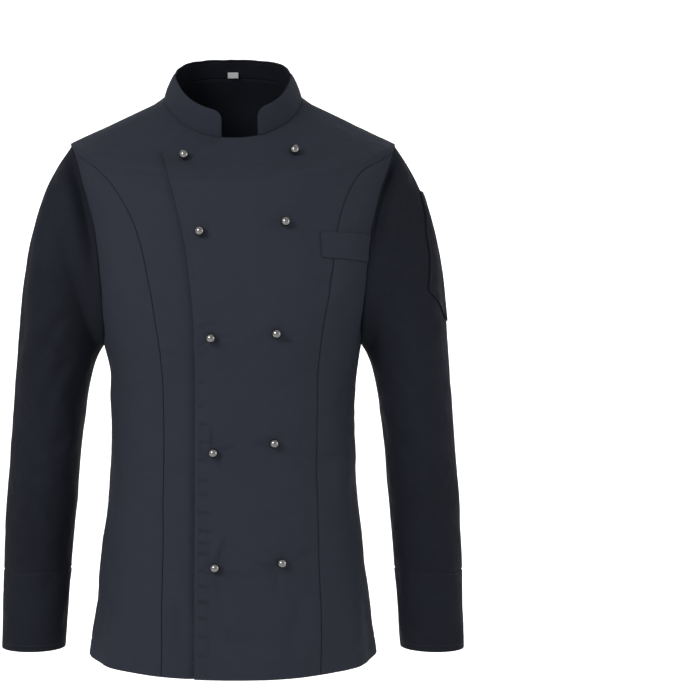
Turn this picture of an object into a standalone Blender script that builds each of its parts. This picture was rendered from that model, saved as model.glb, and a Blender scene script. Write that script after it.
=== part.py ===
"""A women's double-breasted chef jacket, filled out as if worn, with nobody in it.

Metres, +Z up, the wearer facing -Y, so the wearer's left is at +X. Heights are measured from the
neck points, where the shoulder seams meet the collar: that level, at the middle of the neck, is
the origin. The cloth is a thin wall. Every panel is read from one torso form, or from one sleeve
form, and ends a seam's gap short of its neighbour.
"""

import math
from collections import namedtuple

import bmesh
import bpy
from mathutils import Vector

# ---------------------------------------------------------------- cloth and seams
CLOTH = 0.0015
SEAM_GAP = 0.0003
LAYER_GAP = 0.0013
PATCH_GAP = 0.0006
SLEEVE_PATCH_GAP = 0.0012

# ---------------------------------------------------------------- torso
# Rings through the torso. height: of the ring's side points. half_width, front, back: its reaches
# from centre, which is its middle in Y. front_drop, back_rise: how far its front hangs and its back
# climbs from its sides. curl: 1 where the back climbs close beside the neck, 0 where it climbs
# further in. squareness: 2 is an ellipse, more is squarer.
Section = namedtuple(
    "Section", "name height half_width front back centre front_drop back_rise curl squareness"
)
SECTIONS = [
    Section("neck", 0.004, 0.080, 0.0715, 0.040, 0.010, 0.056, 0.0325, 0.6, 2.30),
    Section("mid_shoulder", -0.022, 0.134, 0.0850, 0.070, 0.008, 0.055, 0.0290, 0.0, 2.25),
    Section("shoulder_tip", -0.050, 0.190, 0.0980, 0.088, 0.006, 0.045, 0.0220, 0.0, 2.25),
    Section("across_chest", -0.110, 0.183, 0.1070, 0.104, 0.004, 0.022, 0.0120, 0.0, 2.35),
    Section("upper_bust", -0.180, 0.170, 0.1140, 0.107, 0.002, 0.008, 0.0040, 0.0, 2.40),
    Section("bust", -0.240, 0.158, 0.1180, 0.103, 0.000, 0.000, 0.0000, 0.0, 2.35),
    Section("underarm", -0.283, 0.1500, 0.1150, 0.097, 0.000, 0.000, 0.0000, 0.0, 2.30),
    Section("high_waist", -0.335, 0.1425, 0.1060, 0.088, 0.000, 0.000, 0.0000, 0.0, 2.30),
    Section("waist", -0.390, 0.1415, 0.1010, 0.084, 0.000, 0.000, 0.0000, 0.0, 2.30),
    Section("high_hip", -0.480, 0.1465, 0.1070, 0.098, 0.000, 0.000, 0.0000, 0.0, 2.30),
    Section("hip", -0.580, 0.1560, 0.1150, 0.112, 0.000, 0.000, 0.0000, 0.0, 2.30),
    Section("hem", -0.646, 0.1635, 0.1180, 0.117, 0.000, 0.000, 0.0000, 0.0, 2.30),
]
FRONT_DROP_BEND = 1.5
NECK = SECTIONS[0]
TIP = SECTIONS[2]
UNDERARM = SECTIONS[6]
HEM = SECTIONS[-1]
HEM_DIP = 0.012

# Rounded fullness of the form. angle: degrees from the centre front. spread: degrees.
# rise: its half-length in height. out: how far it stands out.
Bulge = namedtuple("Bulge", "name angle spread height rise out")
BULGES = [
    Bulge("bust", 40.0, 20.0, -0.225, 0.060, 0.0075),
    Bulge("shoulder_blade", 142.0, 24.0, -0.150, 0.075, 0.0050),
    Bulge("seat", 150.0, 30.0, -0.560, 0.090, 0.0040),
]

# The hem's soft flutes. angle and spread in degrees round the body, top: where one begins.
Flute = namedtuple("Flute", "name angle spread top out")
FLUTES = [
    Flute("front_right", -52.0, 8.0, -0.420, 0.0035),
    Flute("front_left", 57.0, 9.0, -0.440, 0.0030),
    Flute("side_right", -83.0, 8.0, -0.400, 0.0035),
    Flute("side_left", 86.0, 8.0, -0.410, 0.0035),
    Flute("back_right", -128.0, 11.0, -0.420, 0.0060),
    Flute("back_middle", 176.0, 13.0, -0.440, 0.0045),
    Flute("back_left", 131.0, 12.0, -0.430, 0.0055),
]

# ---------------------------------------------------------------- front: seams and edges
# Where each line runs, as distances from the centre at each height: the princess seams, and the
# edges of the two fronts that lap over each other.
Line = namedtuple("Line", "height princess_right princess_left lap_edge under_edge")
FRONT_LINES = [
    Line(-0.052, -0.1850, 0.1835, -0.0835, 0.047),
    Line(-0.062, -0.1765, 0.1725, -0.0810, 0.050),
    Line(-0.080, -0.1610, 0.1550, -0.0765, 0.055),
    Line(-0.100, -0.1420, 0.1390, -0.0712, 0.060),
    Line(-0.115, -0.1310, 0.1300, -0.0672, 0.062),
    Line(-0.138, -0.1175, 0.1215, -0.0612, 0.063),
    Line(-0.165, -0.1050, 0.1142, -0.0547, 0.064),
    Line(-0.208, -0.0928, 0.1063, -0.0480, 0.064),
    Line(-0.262, -0.0838, 0.0980, -0.0430, 0.064),
    Line(-0.325, -0.0783, 0.0943, -0.0416, 0.064),
    Line(-0.425, -0.0773, 0.0938, -0.0417, 0.064),
    Line(-0.560, -0.0785, 0.0967, -0.0420, 0.065),
    Line(-0.650, -0.0792, 0.0978, -0.0420, 0.066),
]
LAP_RAMP = 0.016
LAP_CLEAR = 0.012
LAP_CORNER_RIGHT = (-0.081, -0.0635)
LAP_CORNER_LEFT = (0.051, -0.0600)
LAP_FREE_ROWS = 7

# ---------------------------------------------------------------- armholes and sleeves
# Steps round an armhole, degrees from the shoulder tip down the front to the underarm. The
# princess seam starts at PRINCESS_STEP.
ARMHOLE_STEPS = [0, 12, 24, 36, 52, 70, 90, 107, 124, 140, 155, 168, 180]
PRINCESS_STEP = 1
ARMHOLE_FRONT = 29.0
ARMHOLE_BACK = 26.0
ARMHOLE_FLAT = 0.80
SIDE_POINT_BLUNT = 0.06

# Rings of a sleeve. outer_x, outer_z and inner_x, inner_z: its outermost and innermost points.
# front, back: its reaches in Y from centre.
Cut = namedtuple("Cut", "name outer_x outer_z inner_x inner_z front back centre")
SLEEVE = [
    Cut("armhole", 0.190, -0.050, 0.150, -0.283, 0.054, 0.054, 0.004),
    Cut("cap", 0.2085, -0.079, 0.1560, -0.292, 0.060, 0.060, 0.004),
    Cut("upper_cap", 0.2265, -0.120, 0.1620, -0.305, 0.064, 0.064, 0.003),
    Cut("biceps", 0.2418, -0.182, 0.1680, -0.328, 0.065, 0.064, 0.002),
    Cut("upper_arm", 0.2503, -0.252, 0.1735, -0.360, 0.063, 0.061, 0.002),
    Cut("above_elbow", 0.2562, -0.330, 0.1785, -0.402, 0.059, 0.057, 0.003),
    Cut("elbow", 0.2620, -0.410, 0.1830, -0.455, 0.055, 0.053, 0.003),
    Cut("forearm", 0.2670, -0.480, 0.1870, -0.505, 0.051, 0.048, 0.000),
    Cut("cuff_seam", 0.2690, -0.549, 0.1905, -0.549, 0.046, 0.044, -0.004),
    Cut("cuff_edge", 0.2705, -0.640, 0.1965, -0.640, 0.041, 0.040, -0.010),
]
CUFF_SEAM = 8
SLEEVE_JOIN = 1.6

# ---------------------------------------------------------------- collar
COLLAR_TILT = 36.0
COLLAR_FRONT = 0.033
COLLAR_BACK = 0.026
COLLAR_LEAN_SIDE = 0.013
COLLAR_LEAN_FRONT = 0.003
COLLAR_CORNER = 0.011
COLLAR_END_RIGHT = -0.013
COLLAR_END_LEFT = 0.027
COLLAR_LEAN_START = 0.55
COLLAR_NARROWS_FROM = 100.0
COLLAR_NARROWS_OVER = 70.0
COLLAR_CORNER_ANGLES = [0.0, 0.7, 2.4, 4.8, 7.8]

# ---------------------------------------------------------------- pockets and label
WELT_START = 0.0955
WELT_TOP = -0.162
WELT_DEPTH = 0.029
WELT_SLOPE = -0.05
WELT_CLEAR = 1.2
PEN_POCKET_TOP = -0.108
PEN_POCKET_SIDE = -0.226
PEN_POCKET_POINT = -0.260
PEN_FRONT_TOP = 24.0
PEN_FRONT_BOTTOM = 62.0
PEN_TURN = 88.0
LABEL_WIDTH = 0.0125
LABEL_THICK = 0.0010
LABEL_TOP = 0.30
LABEL_FOOT = -0.02

# ---------------------------------------------------------------- studs
BALL_RADIUS = 0.0055
SHANK_RADIUS = 0.0021
SHANK_LENGTH = 0.0012
FOOT_RADIUS = 0.0034
FOOT_THICK = 0.0006
Stud = namedtuple("Stud", "row height right_x left_x left_height")
STUDS = [
    Stud(1, -0.0782, -0.0542, 0.0682, -0.0711),
    Stud(2, -0.1639, -0.0363, 0.0564, -0.1533),
    Stud(3, -0.2805, -0.0240, 0.0457, -0.2754),
    Stud(4, -0.4085, -0.0213, 0.0439, -0.3980),
    Stud(5, -0.5350, -0.0196, 0.0520, -0.5303),
]

# ---------------------------------------------------------------- mesh fineness
SHOULDER_STEPS = 4
LOWER_STEPS = 10
FRONT_COLUMNS = 10
SIDE_COLUMNS = 5
BACK_COLUMNS = 16
SLEEVE_RINGS = 12
CUFF_RINGS = 3
COLLAR_ROWS = 4
WELT_ROWS = 3
WELT_COLUMNS = 7
PEN_ROWS = 7
PEN_COLUMNS = 9
LABEL_POINTS = 3
BALL_TURNS = 12
BALL_ROWS = 7
SHARP_ANGLE = 40.0
SEAM_SAMPLES = 120

# ---------------------------------------------------------------- finding points on the form
SOLVE_ROUNDS = 30
SOLVE_STEP = 0.75
NORMAL_TURN = 0.6
NORMAL_RISE = 0.0006
SLEEVE_NORMAL_TURN = 1.0
SLEEVE_NORMAL_RISE = 0.02
COLLAR_NORMAL_TURN = 4.0
COLLAR_NORMAL_RISE = 0.05
SAME_ANGLE = 1e-6
WELD = 1e-6
INSET_LIMIT = 0.35


def slopes(xs, ys):
    """Slopes of a smooth curve through the points, that never overshoots them."""
    steps = [(ys[i + 1] - ys[i]) / (xs[i + 1] - xs[i]) for i in range(len(xs) - 1)]
    found = [steps[0]]
    for before, after in zip(steps, steps[1:]):
        same = before * after > 0.0
        found.append(2.0 * before * after / (before + after) if same else 0.0)
    found.append(steps[-1])
    return found


def curve(xs, ys):
    """A function that reads the smooth curve through the points, held level past its ends."""
    pairs = sorted(zip(xs, ys))
    xs = [x for x, _ in pairs]
    ys = [y for _, y in pairs]
    tangents = slopes(xs, ys)

    def read(x):
        if x <= xs[0]:
            return ys[0]
        if x >= xs[-1]:
            return ys[-1]
        i = max(k for k in range(len(xs) - 1) if xs[k] <= x)
        wide = xs[i + 1] - xs[i]
        u = (x - xs[i]) / wide
        rise = ys[i + 1] - ys[i]
        bend_in = tangents[i] * wide - rise
        bend_out = rise - tangents[i + 1] * wide
        return ys[i] + u * rise + u * (1 - u) * ((1 - u) * bend_in + u * bend_out)

    return read


def column(table, key, name):
    """The named column of a table as a smooth curve over its key column."""
    return curve([getattr(row, key) for row in table], [getattr(row, name) for row in table])


FORM = {name: column(SECTIONS, "height", name) for name in Section._fields[2:]}
LINES = {name: column(FRONT_LINES, "height", name) for name in Line._fields[1:]}


def smooth_step(u):
    u = min(max(u, 0.0), 1.0)
    return u * u * (3.0 - 2.0 * u)


def hill(u):
    """1 at 0, falling smoothly to 0 at 1 and beyond, the same both ways."""
    return 1.0 - smooth_step(abs(u))


def power(value, exponent):
    return math.copysign(abs(value) ** exponent, value)


def between(a, b, u):
    return a + (b - a) * u


def half_width(height):
    """The torso's half-width. The shoulder lines run straight from the neck to the tips."""
    if height > TIP.height:
        u = (height - TIP.height) / (NECK.height - TIP.height)
        return between(TIP.half_width, NECK.half_width, u)
    return FORM["half_width"](height)


def fullness(angle, height):
    """How far the form stands out from its plain ring."""
    out = 0.0
    for b in BULGES:
        across = hill((abs(angle) - b.angle) / (2 * b.spread))
        out += b.out * across * hill((height - b.height) / (2 * b.rise))
    for f in FLUTES:
        away = (angle - f.angle + 180.0) % 360.0 - 180.0
        grown = smooth_step((f.top - height) / (f.top - HEM.height))
        out += f.out * grown * hill(away / (2 * f.spread))
    return out


def torso(angle, height, lift=0.0):
    """A point of the torso form: angle in degrees from the centre front towards the wearer's left."""
    sine = math.sin(math.radians(angle))
    cosine = math.cos(math.radians(angle))
    exponent = 2.0 / FORM["squareness"](height)
    out = fullness(angle, height) + lift
    x = half_width(height) * power(sine, exponent) + out * sine
    share = abs(cosine) ** exponent
    low = smooth_step((UNDERARM.height - height) / (UNDERARM.height - HEM.height))
    z = height - HEM_DIP * low * abs(cosine)
    if cosine > 0.0:
        y = FORM["centre"](height) - FORM["front"](height) * share - out * cosine
        z -= FORM["front_drop"](height) * share**FRONT_DROP_BEND
    else:
        y = FORM["centre"](height) + FORM["back"](height) * share - out * cosine
        climb = between(share * share, smooth_step(share), FORM["curl"](height))
        z += FORM["back_rise"](height) * climb
    return Vector((x, y, z))


def torso_normal(angle, height):
    """The torso form's outward direction."""
    low = max(height - NORMAL_RISE, HEM.height)
    high = min(height + NORMAL_RISE, NECK.height)
    round_it = torso(angle + NORMAL_TURN, height) - torso(angle - NORMAL_TURN, height)
    up = torso(angle, high) - torso(angle, low)
    return round_it.cross(up).normalized()


def angle_of_line(height, line):
    """The angle where a line, given by its distance from the centre at each height, meets a ring."""
    angle = 0.0
    for _ in range(SOLVE_ROUNDS):
        target = line(torso(angle, height).z)
        ratio = min(max(target / half_width(height), -1.0), 1.0)
        exponent = FORM["squareness"](height) / 2.0
        sine = math.copysign(abs(ratio) ** exponent, ratio)
        angle = between(angle, math.degrees(math.asin(sine)), SOLVE_STEP)
    return angle


def ring_at(x, z):
    """The angle and ring height of the point of the front at x and z."""
    height = z
    angle = 0.0
    for _ in range(SOLVE_ROUNDS):
        angle = angle_of_line(height, lambda _z: x)
        height += SOLVE_STEP * (z - torso(angle, height).z)
    return angle, height


# ---------------------------------------------------------------- armholes
ARMHOLE_MIDDLE = (TIP.height + UNDERARM.height) / 2
ARMHOLE_HALF = (TIP.height - UNDERARM.height) / 2


def armhole(step):
    """The angle and height of the armhole at a step round it, in degrees: 0 at the tip, 90 in front."""
    turn = math.radians(step)
    height = ARMHOLE_MIDDLE + ARMHOLE_HALF * math.cos(turn)
    reach = ARMHOLE_FRONT if math.sin(turn) >= 0 else ARMHOLE_BACK
    return 90.0 - reach * power(math.sin(turn), ARMHOLE_FLAT), height


def sleeve_reader():
    reads = {}
    for name in Cut._fields[1:]:
        reads[name] = curve(range(len(SLEEVE)), [getattr(cut, name) for cut in SLEEVE])
    return reads


SLEEVE_FORM = sleeve_reader()


def sleeve_ring(station, step):
    """A point of the plain sleeve ring at a station of the table, step degrees from its outer point."""
    turn = math.radians(step)
    read = {name: form(station) for name, form in SLEEVE_FORM.items()}
    outer = Vector((read["outer_x"], read["centre"], read["outer_z"]))
    inner = Vector((read["inner_x"], read["centre"], read["inner_z"]))
    deep = read["front"] if math.sin(turn) >= 0 else read["back"]
    middle = (outer + inner) / 2
    return middle + (outer - inner) / 2 * math.cos(turn) - Vector((0, deep * math.sin(turn), 0))


def sleeve(station, step):
    """A point of the left sleeve form, which starts exactly at the armhole."""
    point = sleeve_ring(station, step)
    if station < SLEEVE_JOIN:
        angle, height = armhole(step)
        away = torso(angle, height) - sleeve_ring(0.0, step)
        point += away * (1.0 - smooth_step(station / SLEEVE_JOIN))
    return point


def sleeve_normal(station, step):
    """The sleeve form's outward direction."""
    low = max(station - SLEEVE_NORMAL_RISE, 0.0)
    high = min(station + SLEEVE_NORMAL_RISE, len(SLEEVE) - 1.0)
    round_it = sleeve(station, step + SLEEVE_NORMAL_TURN) - sleeve(station, step - SLEEVE_NORMAL_TURN)
    down = sleeve(high, step) - sleeve(low, step)
    return round_it.cross(down).normalized()


def armhole_wall(step):
    """The direction that torso and sleeve walls share along the armhole seam."""
    angle, height = armhole(step)
    return (torso_normal(angle, height) + sleeve_normal(0.0, step)).normalized()


def station_at(step, z):
    """The station where the sleeve form, followed down at a step, reaches a height."""
    low, high = 0.0, len(SLEEVE) - 1.0
    for _ in range(SOLVE_ROUNDS):
        middle = (low + high) / 2
        if sleeve(middle, step).z > z:
            low = middle
        else:
            high = middle
    return low


def mirrored(point):
    return Vector((-point.x, point.y, point.z))


# ---------------------------------------------------------------- rows of the torso panels
def armhole_heights():
    return [armhole(step)[1] for step in ARMHOLE_STEPS]


def torso_heights():
    """The ring heights that every torso panel shares, from the neck to the hem."""
    top = [between(NECK.height, TIP.height, k / SHOULDER_STEPS) for k in range(SHOULDER_STEPS)]
    low = [between(UNDERARM.height, HEM.height, (k + 1) / LOWER_STEPS) for k in range(LOWER_STEPS)]
    return top + armhole_heights() + low


HEIGHTS = torso_heights()
TIP_ROW = SHOULDER_STEPS
PRINCESS_ROW = TIP_ROW + PRINCESS_STEP
UNDERARM_ROW = TIP_ROW + len(ARMHOLE_STEPS) - 1


def evenly(path, count):
    """count + 1 (angle, height) pairs spaced evenly along a path of such pairs."""
    spots = [torso(*pair) for pair in path]
    run = [0.0]
    for a, b in zip(spots, spots[1:]):
        run.append(run[-1] + (b - a).length)
    found = []
    for k in range(count + 1):
        target = run[-1] * k / count
        i = min(max(n for n in range(len(run)) if run[n] <= target), len(run) - 2)
        u = (target - run[i]) / (run[i + 1] - run[i])
        found.append(tuple(between(a, b, u) for a, b in zip(path[i], path[i + 1])))
    return found


def front_row(row, first, free_edge, corner, collar_end):
    """The (angle, height) pairs of a row of a centre front, from its outer seam to its free edge.

    Past the collar's end the top row runs straight to the corner of the free edge, and the rows
    below it even out towards a plain ring.
    """
    ring = HEIGHTS[row]
    sag = 0.0
    if row < LAP_FREE_ROWS:
        sag = (ring_at(*corner)[1] - HEIGHTS[0]) * (1.0 - row / LAP_FREE_ROWS)
    edge = LINES[free_edge](corner[1] if row == 0 else torso(0.0, ring + sag).z)
    last = angle_of_line(ring + sag, lambda _z: edge if row == 0 else LINES[free_edge](_z))
    path = []
    for k in range(SEAM_SAMPLES + 1):
        angle = between(first, last, k / SEAM_SAMPLES)
        height = ring
        for _ in range(SOLVE_ROUNDS if sag else 1):
            past = (collar_end - torso(angle, height).x) / (collar_end - edge)
            height = ring + sag * min(max(past, 0.0), 1.0)
        path.append((angle, height))
    return evenly(path, FRONT_COLUMNS)


# ---------------------------------------------------------------- collar
NECK_TILT = math.radians(COLLAR_TILT)
NECK_UP = Vector((0.0, -math.sin(NECK_TILT), math.cos(NECK_TILT)))


def lap_lift(angle, height):
    """How far the front that laps over is lifted to clear the one under it."""
    point = torso(angle, height)
    past = LINES["under_edge"](point.z) + LAP_CLEAR + LAP_RAMP - point.x
    return (CLOTH + LAYER_GAP) * smooth_step(past / LAP_RAMP)


def neck_seam():
    """The angles, round from the wearer's left front over 180 at the back, where panel points meet it."""
    left = front_row(0, 90.0, "lap_edge", LAP_CORNER_RIGHT, COLLAR_END_RIGHT)
    right = front_row(0, -90.0, "under_edge", LAP_CORNER_LEFT, COLLAR_END_LEFT)
    at_left = sorted(angle for angle, height in left if height == NECK.height)
    at_right = sorted(360.0 + angle for angle, height in right if height == NECK.height)
    back = [between(90.0, 270.0, k / BACK_COLUMNS) for k in range(1, BACK_COLUMNS)]
    return at_left + back + at_right


NECK_SEAM = neck_seam()


def signed(angle):
    """The same angle between -180 and 180. Angles of the neck seam run on past 180 instead."""
    return angle - 360.0 if angle > 180.0 else angle


def seam_place(angle):
    """The two panel points that an angle of the neck seam lies between, and its share of the way."""
    i = min(max(k for k, at in enumerate(NECK_SEAM) if at <= angle), len(NECK_SEAM) - 2)
    return NECK_SEAM[i], NECK_SEAM[i + 1], (angle - NECK_SEAM[i]) / (NECK_SEAM[i + 1] - NECK_SEAM[i])


def neck_point(angle):
    """The neck seam: on the front that laps over at the wearer's left, on the plain form elsewhere."""
    ends = []
    for at in seam_place(angle)[:2]:
        lift = lap_lift(at, NECK.height) if at < 90.0 else 0.0
        ends.append(torso(signed(at), NECK.height, lift))
    return ends[0].lerp(ends[1], seam_place(angle)[2])


def collar_lean(angle):
    side = abs(math.sin(math.radians(angle)))
    return between(COLLAR_LEAN_FRONT, COLLAR_LEAN_SIDE, side * side)


def collar_point(angle, share):
    """A point of the collar's outer face, share of the way up from the neck seam."""
    narrowed = smooth_step((abs(signed(angle)) - COLLAR_NARROWS_FROM) / COLLAR_NARROWS_OVER)
    tall = between(COLLAR_FRONT, COLLAR_BACK, narrowed)
    seam = neck_point(angle)
    sine = math.sin(math.radians(angle))
    cosine = math.cos(math.radians(angle))
    radial = Vector((sine, -cosine * math.cos(NECK_TILT), -cosine * math.sin(NECK_TILT)))
    leaning = collar_lean(angle) * share * between(COLLAR_LEAN_START, 1.0, share)
    return seam + NECK_UP * (tall * share) - radial * leaning


def collar_normal(angle, share):
    """The collar's outward direction."""
    low = max(angle - COLLAR_NORMAL_TURN, NECK_SEAM[0])
    high = min(angle + COLLAR_NORMAL_TURN, NECK_SEAM[-1])
    round_it = collar_point(high, share) - collar_point(low, share)
    top = collar_point(angle, min(share + COLLAR_NORMAL_RISE, 1.0))
    foot = collar_point(angle, max(share - COLLAR_NORMAL_RISE, 0.0))
    return round_it.cross(top - foot).normalized()


def neck_wall(angle):
    """The direction that torso and collar walls share along the neck seam."""
    first, second, share = seam_place(angle)
    walls = []
    for at in (first, second):
        walls.append((torso_normal(signed(at), NECK.height) + collar_normal(at, 0.0)).normalized())
    return walls[0].lerp(walls[1], share).normalized()


# ---------------------------------------------------------------- making solids
def inset_boundary(points, normals, loop, inside):
    """Moves a closed loop of boundary points half a seam's gap into the cloth, in its own surface.

    inside gives, for each point of the loop, the next point of the cloth away from the edge.
    """
    moved = {}
    count = len(loop)
    for k, key in enumerate(loop):
        before = points[loop[k - 1]]
        here = points[key]
        after = points[loop[(k + 1) % count]]
        into_first = normals[key].cross(here - before).normalized()
        into_second = normals[key].cross(after - here).normalized()
        spread = max(1.0 + into_first.dot(into_second), INSET_LIMIT)
        moved[key] = (into_first + into_second) * (SEAM_GAP / 2 / spread)
    facing = sum(moved[key].dot(points[inside(key)] - points[key]) for key in loop)
    turned = math.copysign(1.0, facing)
    for key, move in moved.items():
        points[key] = points[key] + move * turned


def solid_of(name, rows, columns, points, normals, closed, thickness=CLOTH):
    """A wall of cloth on a grid of outer points, thickened inwards. closed: the columns go right round."""
    last_row = rows - 1
    last_column = columns - 1
    if closed:
        inset_boundary(points, normals, [(0, i) for i in range(columns)], lambda k: (1, k[1]))
        low = [(last_row, i) for i in range(columns)]
        inset_boundary(points, normals, low, lambda k: (last_row - 1, k[1]))
    else:
        loop = [(last_row, i) for i in range(columns)]
        loop += [(j, last_column) for j in reversed(range(rows - 1))]
        loop += [(0, i) for i in reversed(range(columns - 1))]
        loop += [(j, 0) for j in range(1, rows - 1)]
        middle = (last_row / 2, last_column / 2)
        inset_boundary(points, normals, loop, lambda k: tuple(
            at + (1 if at < centre else -1) for at, centre in zip(k, middle)))
    bm = bmesh.new()
    outer = {key: bm.verts.new(point) for key, point in points.items()}
    inner = {key: bm.verts.new(point - normals[key] * thickness) for key, point in points.items()}
    spans = columns if closed else columns - 1
    for j in range(rows - 1):
        for i in range(spans):
            a, b = (j, i), (j + 1, i)
            c, d = (j + 1, (i + 1) % columns), (j, (i + 1) % columns)
            shorter = (points[a] - points[c]).length < (points[b] - points[d]).length
            for three in ((a, b, c), (a, c, d)) if shorter else ((a, b, d), (b, c, d)):
                bm.faces.new([outer[key] for key in three])
                bm.faces.new([inner[key] for key in reversed(three)])
    edges = [[(j, i), (j, (i + 1) % columns)] for j in (0, last_row) for i in range(spans)]
    if not closed:
        edges += [[(j, i), (j + 1, i)] for i in (0, last_column) for j in range(rows - 1)]
    for a, b in edges:
        bm.faces.new([outer[a], outer[b], inner[b], inner[a]])
    return finished(name, bm)


def finished(name, bm):
    """Turns a bmesh into a named object with faces out."""
    bmesh.ops.recalc_face_normals(bm, faces=bm.faces)
    mesh = bpy.data.meshes.new(name)
    bm.to_mesh(mesh)
    bm.free()
    made = bpy.data.objects.new(name, mesh)
    bpy.context.collection.objects.link(made)
    return made


def material(name, colour, roughness, metallic=0.0):
    made = bpy.data.materials.new(name)
    made.use_nodes = True
    shader = made.node_tree.nodes["Principled BSDF"]
    shader.inputs["Base Color"].default_value = (*colour, 1.0)
    shader.inputs["Roughness"].default_value = roughness
    shader.inputs["Metallic"].default_value = metallic
    return made


# ---------------------------------------------------------------- torso panels
def wall_direction(angle, row, turns=0.0):
    """The wall's direction at a ring row, shared with the collar or sleeve where it meets one.

    turns is 360 where the neck seam counts the panel's angles on past 180.
    """
    if row == 0:
        return neck_wall(angle + turns)
    if TIP_ROW <= row <= UNDERARM_ROW:
        step = ARMHOLE_STEPS[row - TIP_ROW]
        for side in (step, -step):
            at = armhole(side)[0]
            if abs(abs(angle) - at) < SAME_ANGLE:
                wall = armhole_wall(side)
                return wall if angle > 0 else mirrored(wall)
    return torso_normal(angle, HEIGHTS[row])


def outer_angle(row, princess, side):
    """The angle where the centre front ends: shoulder seam, then armhole, then princess seam."""
    if row <= TIP_ROW:
        return 90.0 * side
    if row <= PRINCESS_ROW:
        return armhole(ARMHOLE_STEPS[row - TIP_ROW])[0] * side
    return angle_of_line(HEIGHTS[row], LINES[princess])


def armhole_or_side(row, side, back=False):
    """The angle where the side of a panel ends: the armhole, then the side seam."""
    if row <= TIP_ROW or row >= UNDERARM_ROW:
        return 90.0 * side
    step = ARMHOLE_STEPS[row - TIP_ROW]
    return armhole(-step if back else step)[0] * side


def centre_front(name, princess, side, free_edge, laps):
    """A centre front panel, from its princess seam past the centre to its free edge."""
    points = {}
    normals = {}
    corner = LAP_CORNER_RIGHT if laps else LAP_CORNER_LEFT
    end = COLLAR_END_RIGHT if laps else COLLAR_END_LEFT
    for j in range(len(HEIGHTS)):
        first = outer_angle(j, princess, side)
        for i, (angle, height) in enumerate(front_row(j, first, free_edge, corner, end)):
            lift = lap_lift(angle, height) if laps else 0.0
            shared = i == 0 or (j == 0 and height == HEIGHTS[0])
            points[j, i] = torso(angle, height, lift)
            turns = 0.0 if laps else 360.0
            normals[j, i] = wall_direction(angle, j, turns) if shared else torso_normal(angle, height)
    return solid_of(name, len(HEIGHTS), FRONT_COLUMNS + 1, points, normals, closed=False)


def side_front(name, princess, side):
    """A side front panel: a point at the armhole, widening to the underarm, then down to the hem."""
    points = {}
    normals = {}
    rows = len(HEIGHTS) - PRINCESS_ROW
    for k in range(rows):
        row = PRINCESS_ROW + k
        first = outer_angle(row, princess, side)
        last = armhole_or_side(row, side)
        for i in range(SIDE_COLUMNS + 1):
            angle = between(first, last, i / SIDE_COLUMNS)
            points[k, i] = torso(angle, HEIGHTS[row])
            normals[k, i] = wall_direction(angle, row)
    for i in range(SIDE_COLUMNS + 1):
        points[0, i] = points[0, i].lerp(points[1, i], SIDE_POINT_BLUNT)
        normals[0, i] = normals[0, i].lerp(normals[1, i], SIDE_POINT_BLUNT).normalized()
    return solid_of(name, rows, SIDE_COLUMNS + 1, points, normals, closed=False)


def back_panel(name):
    """The back, in one piece from side seam to side seam and shoulder to shoulder."""
    points = {}
    normals = {}
    for j, height in enumerate(HEIGHTS):
        first = armhole_or_side(j, 1.0, back=True)
        for i in range(BACK_COLUMNS + 1):
            angle = between(first, 360.0 - first, i / BACK_COLUMNS)
            points[j, i] = torso(signed(angle), height)
            turns = 360.0 if angle > 180.0 else 0.0
            normals[j, i] = wall_direction(signed(angle), j, turns)
    return solid_of(name, len(HEIGHTS), BACK_COLUMNS + 1, points, normals, closed=False)


# ---------------------------------------------------------------- sleeves and cuffs
def sleeve_steps():
    """Every step round a sleeve: down the front, then up the back."""
    return ARMHOLE_STEPS + [-step for step in reversed(ARMHOLE_STEPS[1:-1])]


def sleeve_tube(name, stations, side):
    """A tube of sleeve through the stations of its form, mirrored for the wearer's right."""
    points = {}
    normals = {}
    steps = sleeve_steps()
    for j, station in enumerate(stations):
        for i, step in enumerate(steps):
            point = sleeve(station, step)
            normal = armhole_wall(step) if station == 0 else sleeve_normal(station, step)
            points[j, i] = point if side > 0 else mirrored(point)
            normals[j, i] = normal if side > 0 else mirrored(normal)
    return solid_of(name, len(stations), len(steps), points, normals, closed=True)


def stations_between(first, last, count):
    return [between(first, last, k / count) for k in range(count + 1)]


# ---------------------------------------------------------------- collar
def collar_angles():
    """Angles along the collar: those of the panels' points, and more where its corners round."""
    left = angle_of_line(NECK.height, lambda _z: COLLAR_END_LEFT)
    right = 360.0 + angle_of_line(NECK.height, lambda _z: COLLAR_END_RIGHT)
    near = COLLAR_CORNER_ANGLES
    plain = [angle for angle in NECK_SEAM if left + near[-1] < angle < right - near[-1]]
    return [left + away for away in near] + plain + [right - away for away in reversed(near)]


def collar(name):
    """The stand collar in one piece, from one rounded corner round the back to the other."""
    angles = collar_angles()
    bases = [collar_point(angle, 0.0) for angle in angles]
    points = {}
    normals = {}
    for i, angle in enumerate(angles):
        near = min((bases[i] - bases[0]).length, (bases[i] - bases[-1]).length)
        short = COLLAR_CORNER - near
        cut = COLLAR_CORNER - math.sqrt(COLLAR_CORNER**2 - short**2) if short > 0 else 0.0
        top = 1.0 - cut / COLLAR_FRONT
        for j in range(COLLAR_ROWS + 1):
            share = top * (1.0 - j / COLLAR_ROWS)
            at_seam = j == COLLAR_ROWS
            points[j, i] = collar_point(angle, share)
            normals[j, i] = neck_wall(angle) if at_seam else collar_normal(angle, share)
    return solid_of(name, COLLAR_ROWS + 1, len(angles), points, normals, closed=False)


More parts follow.
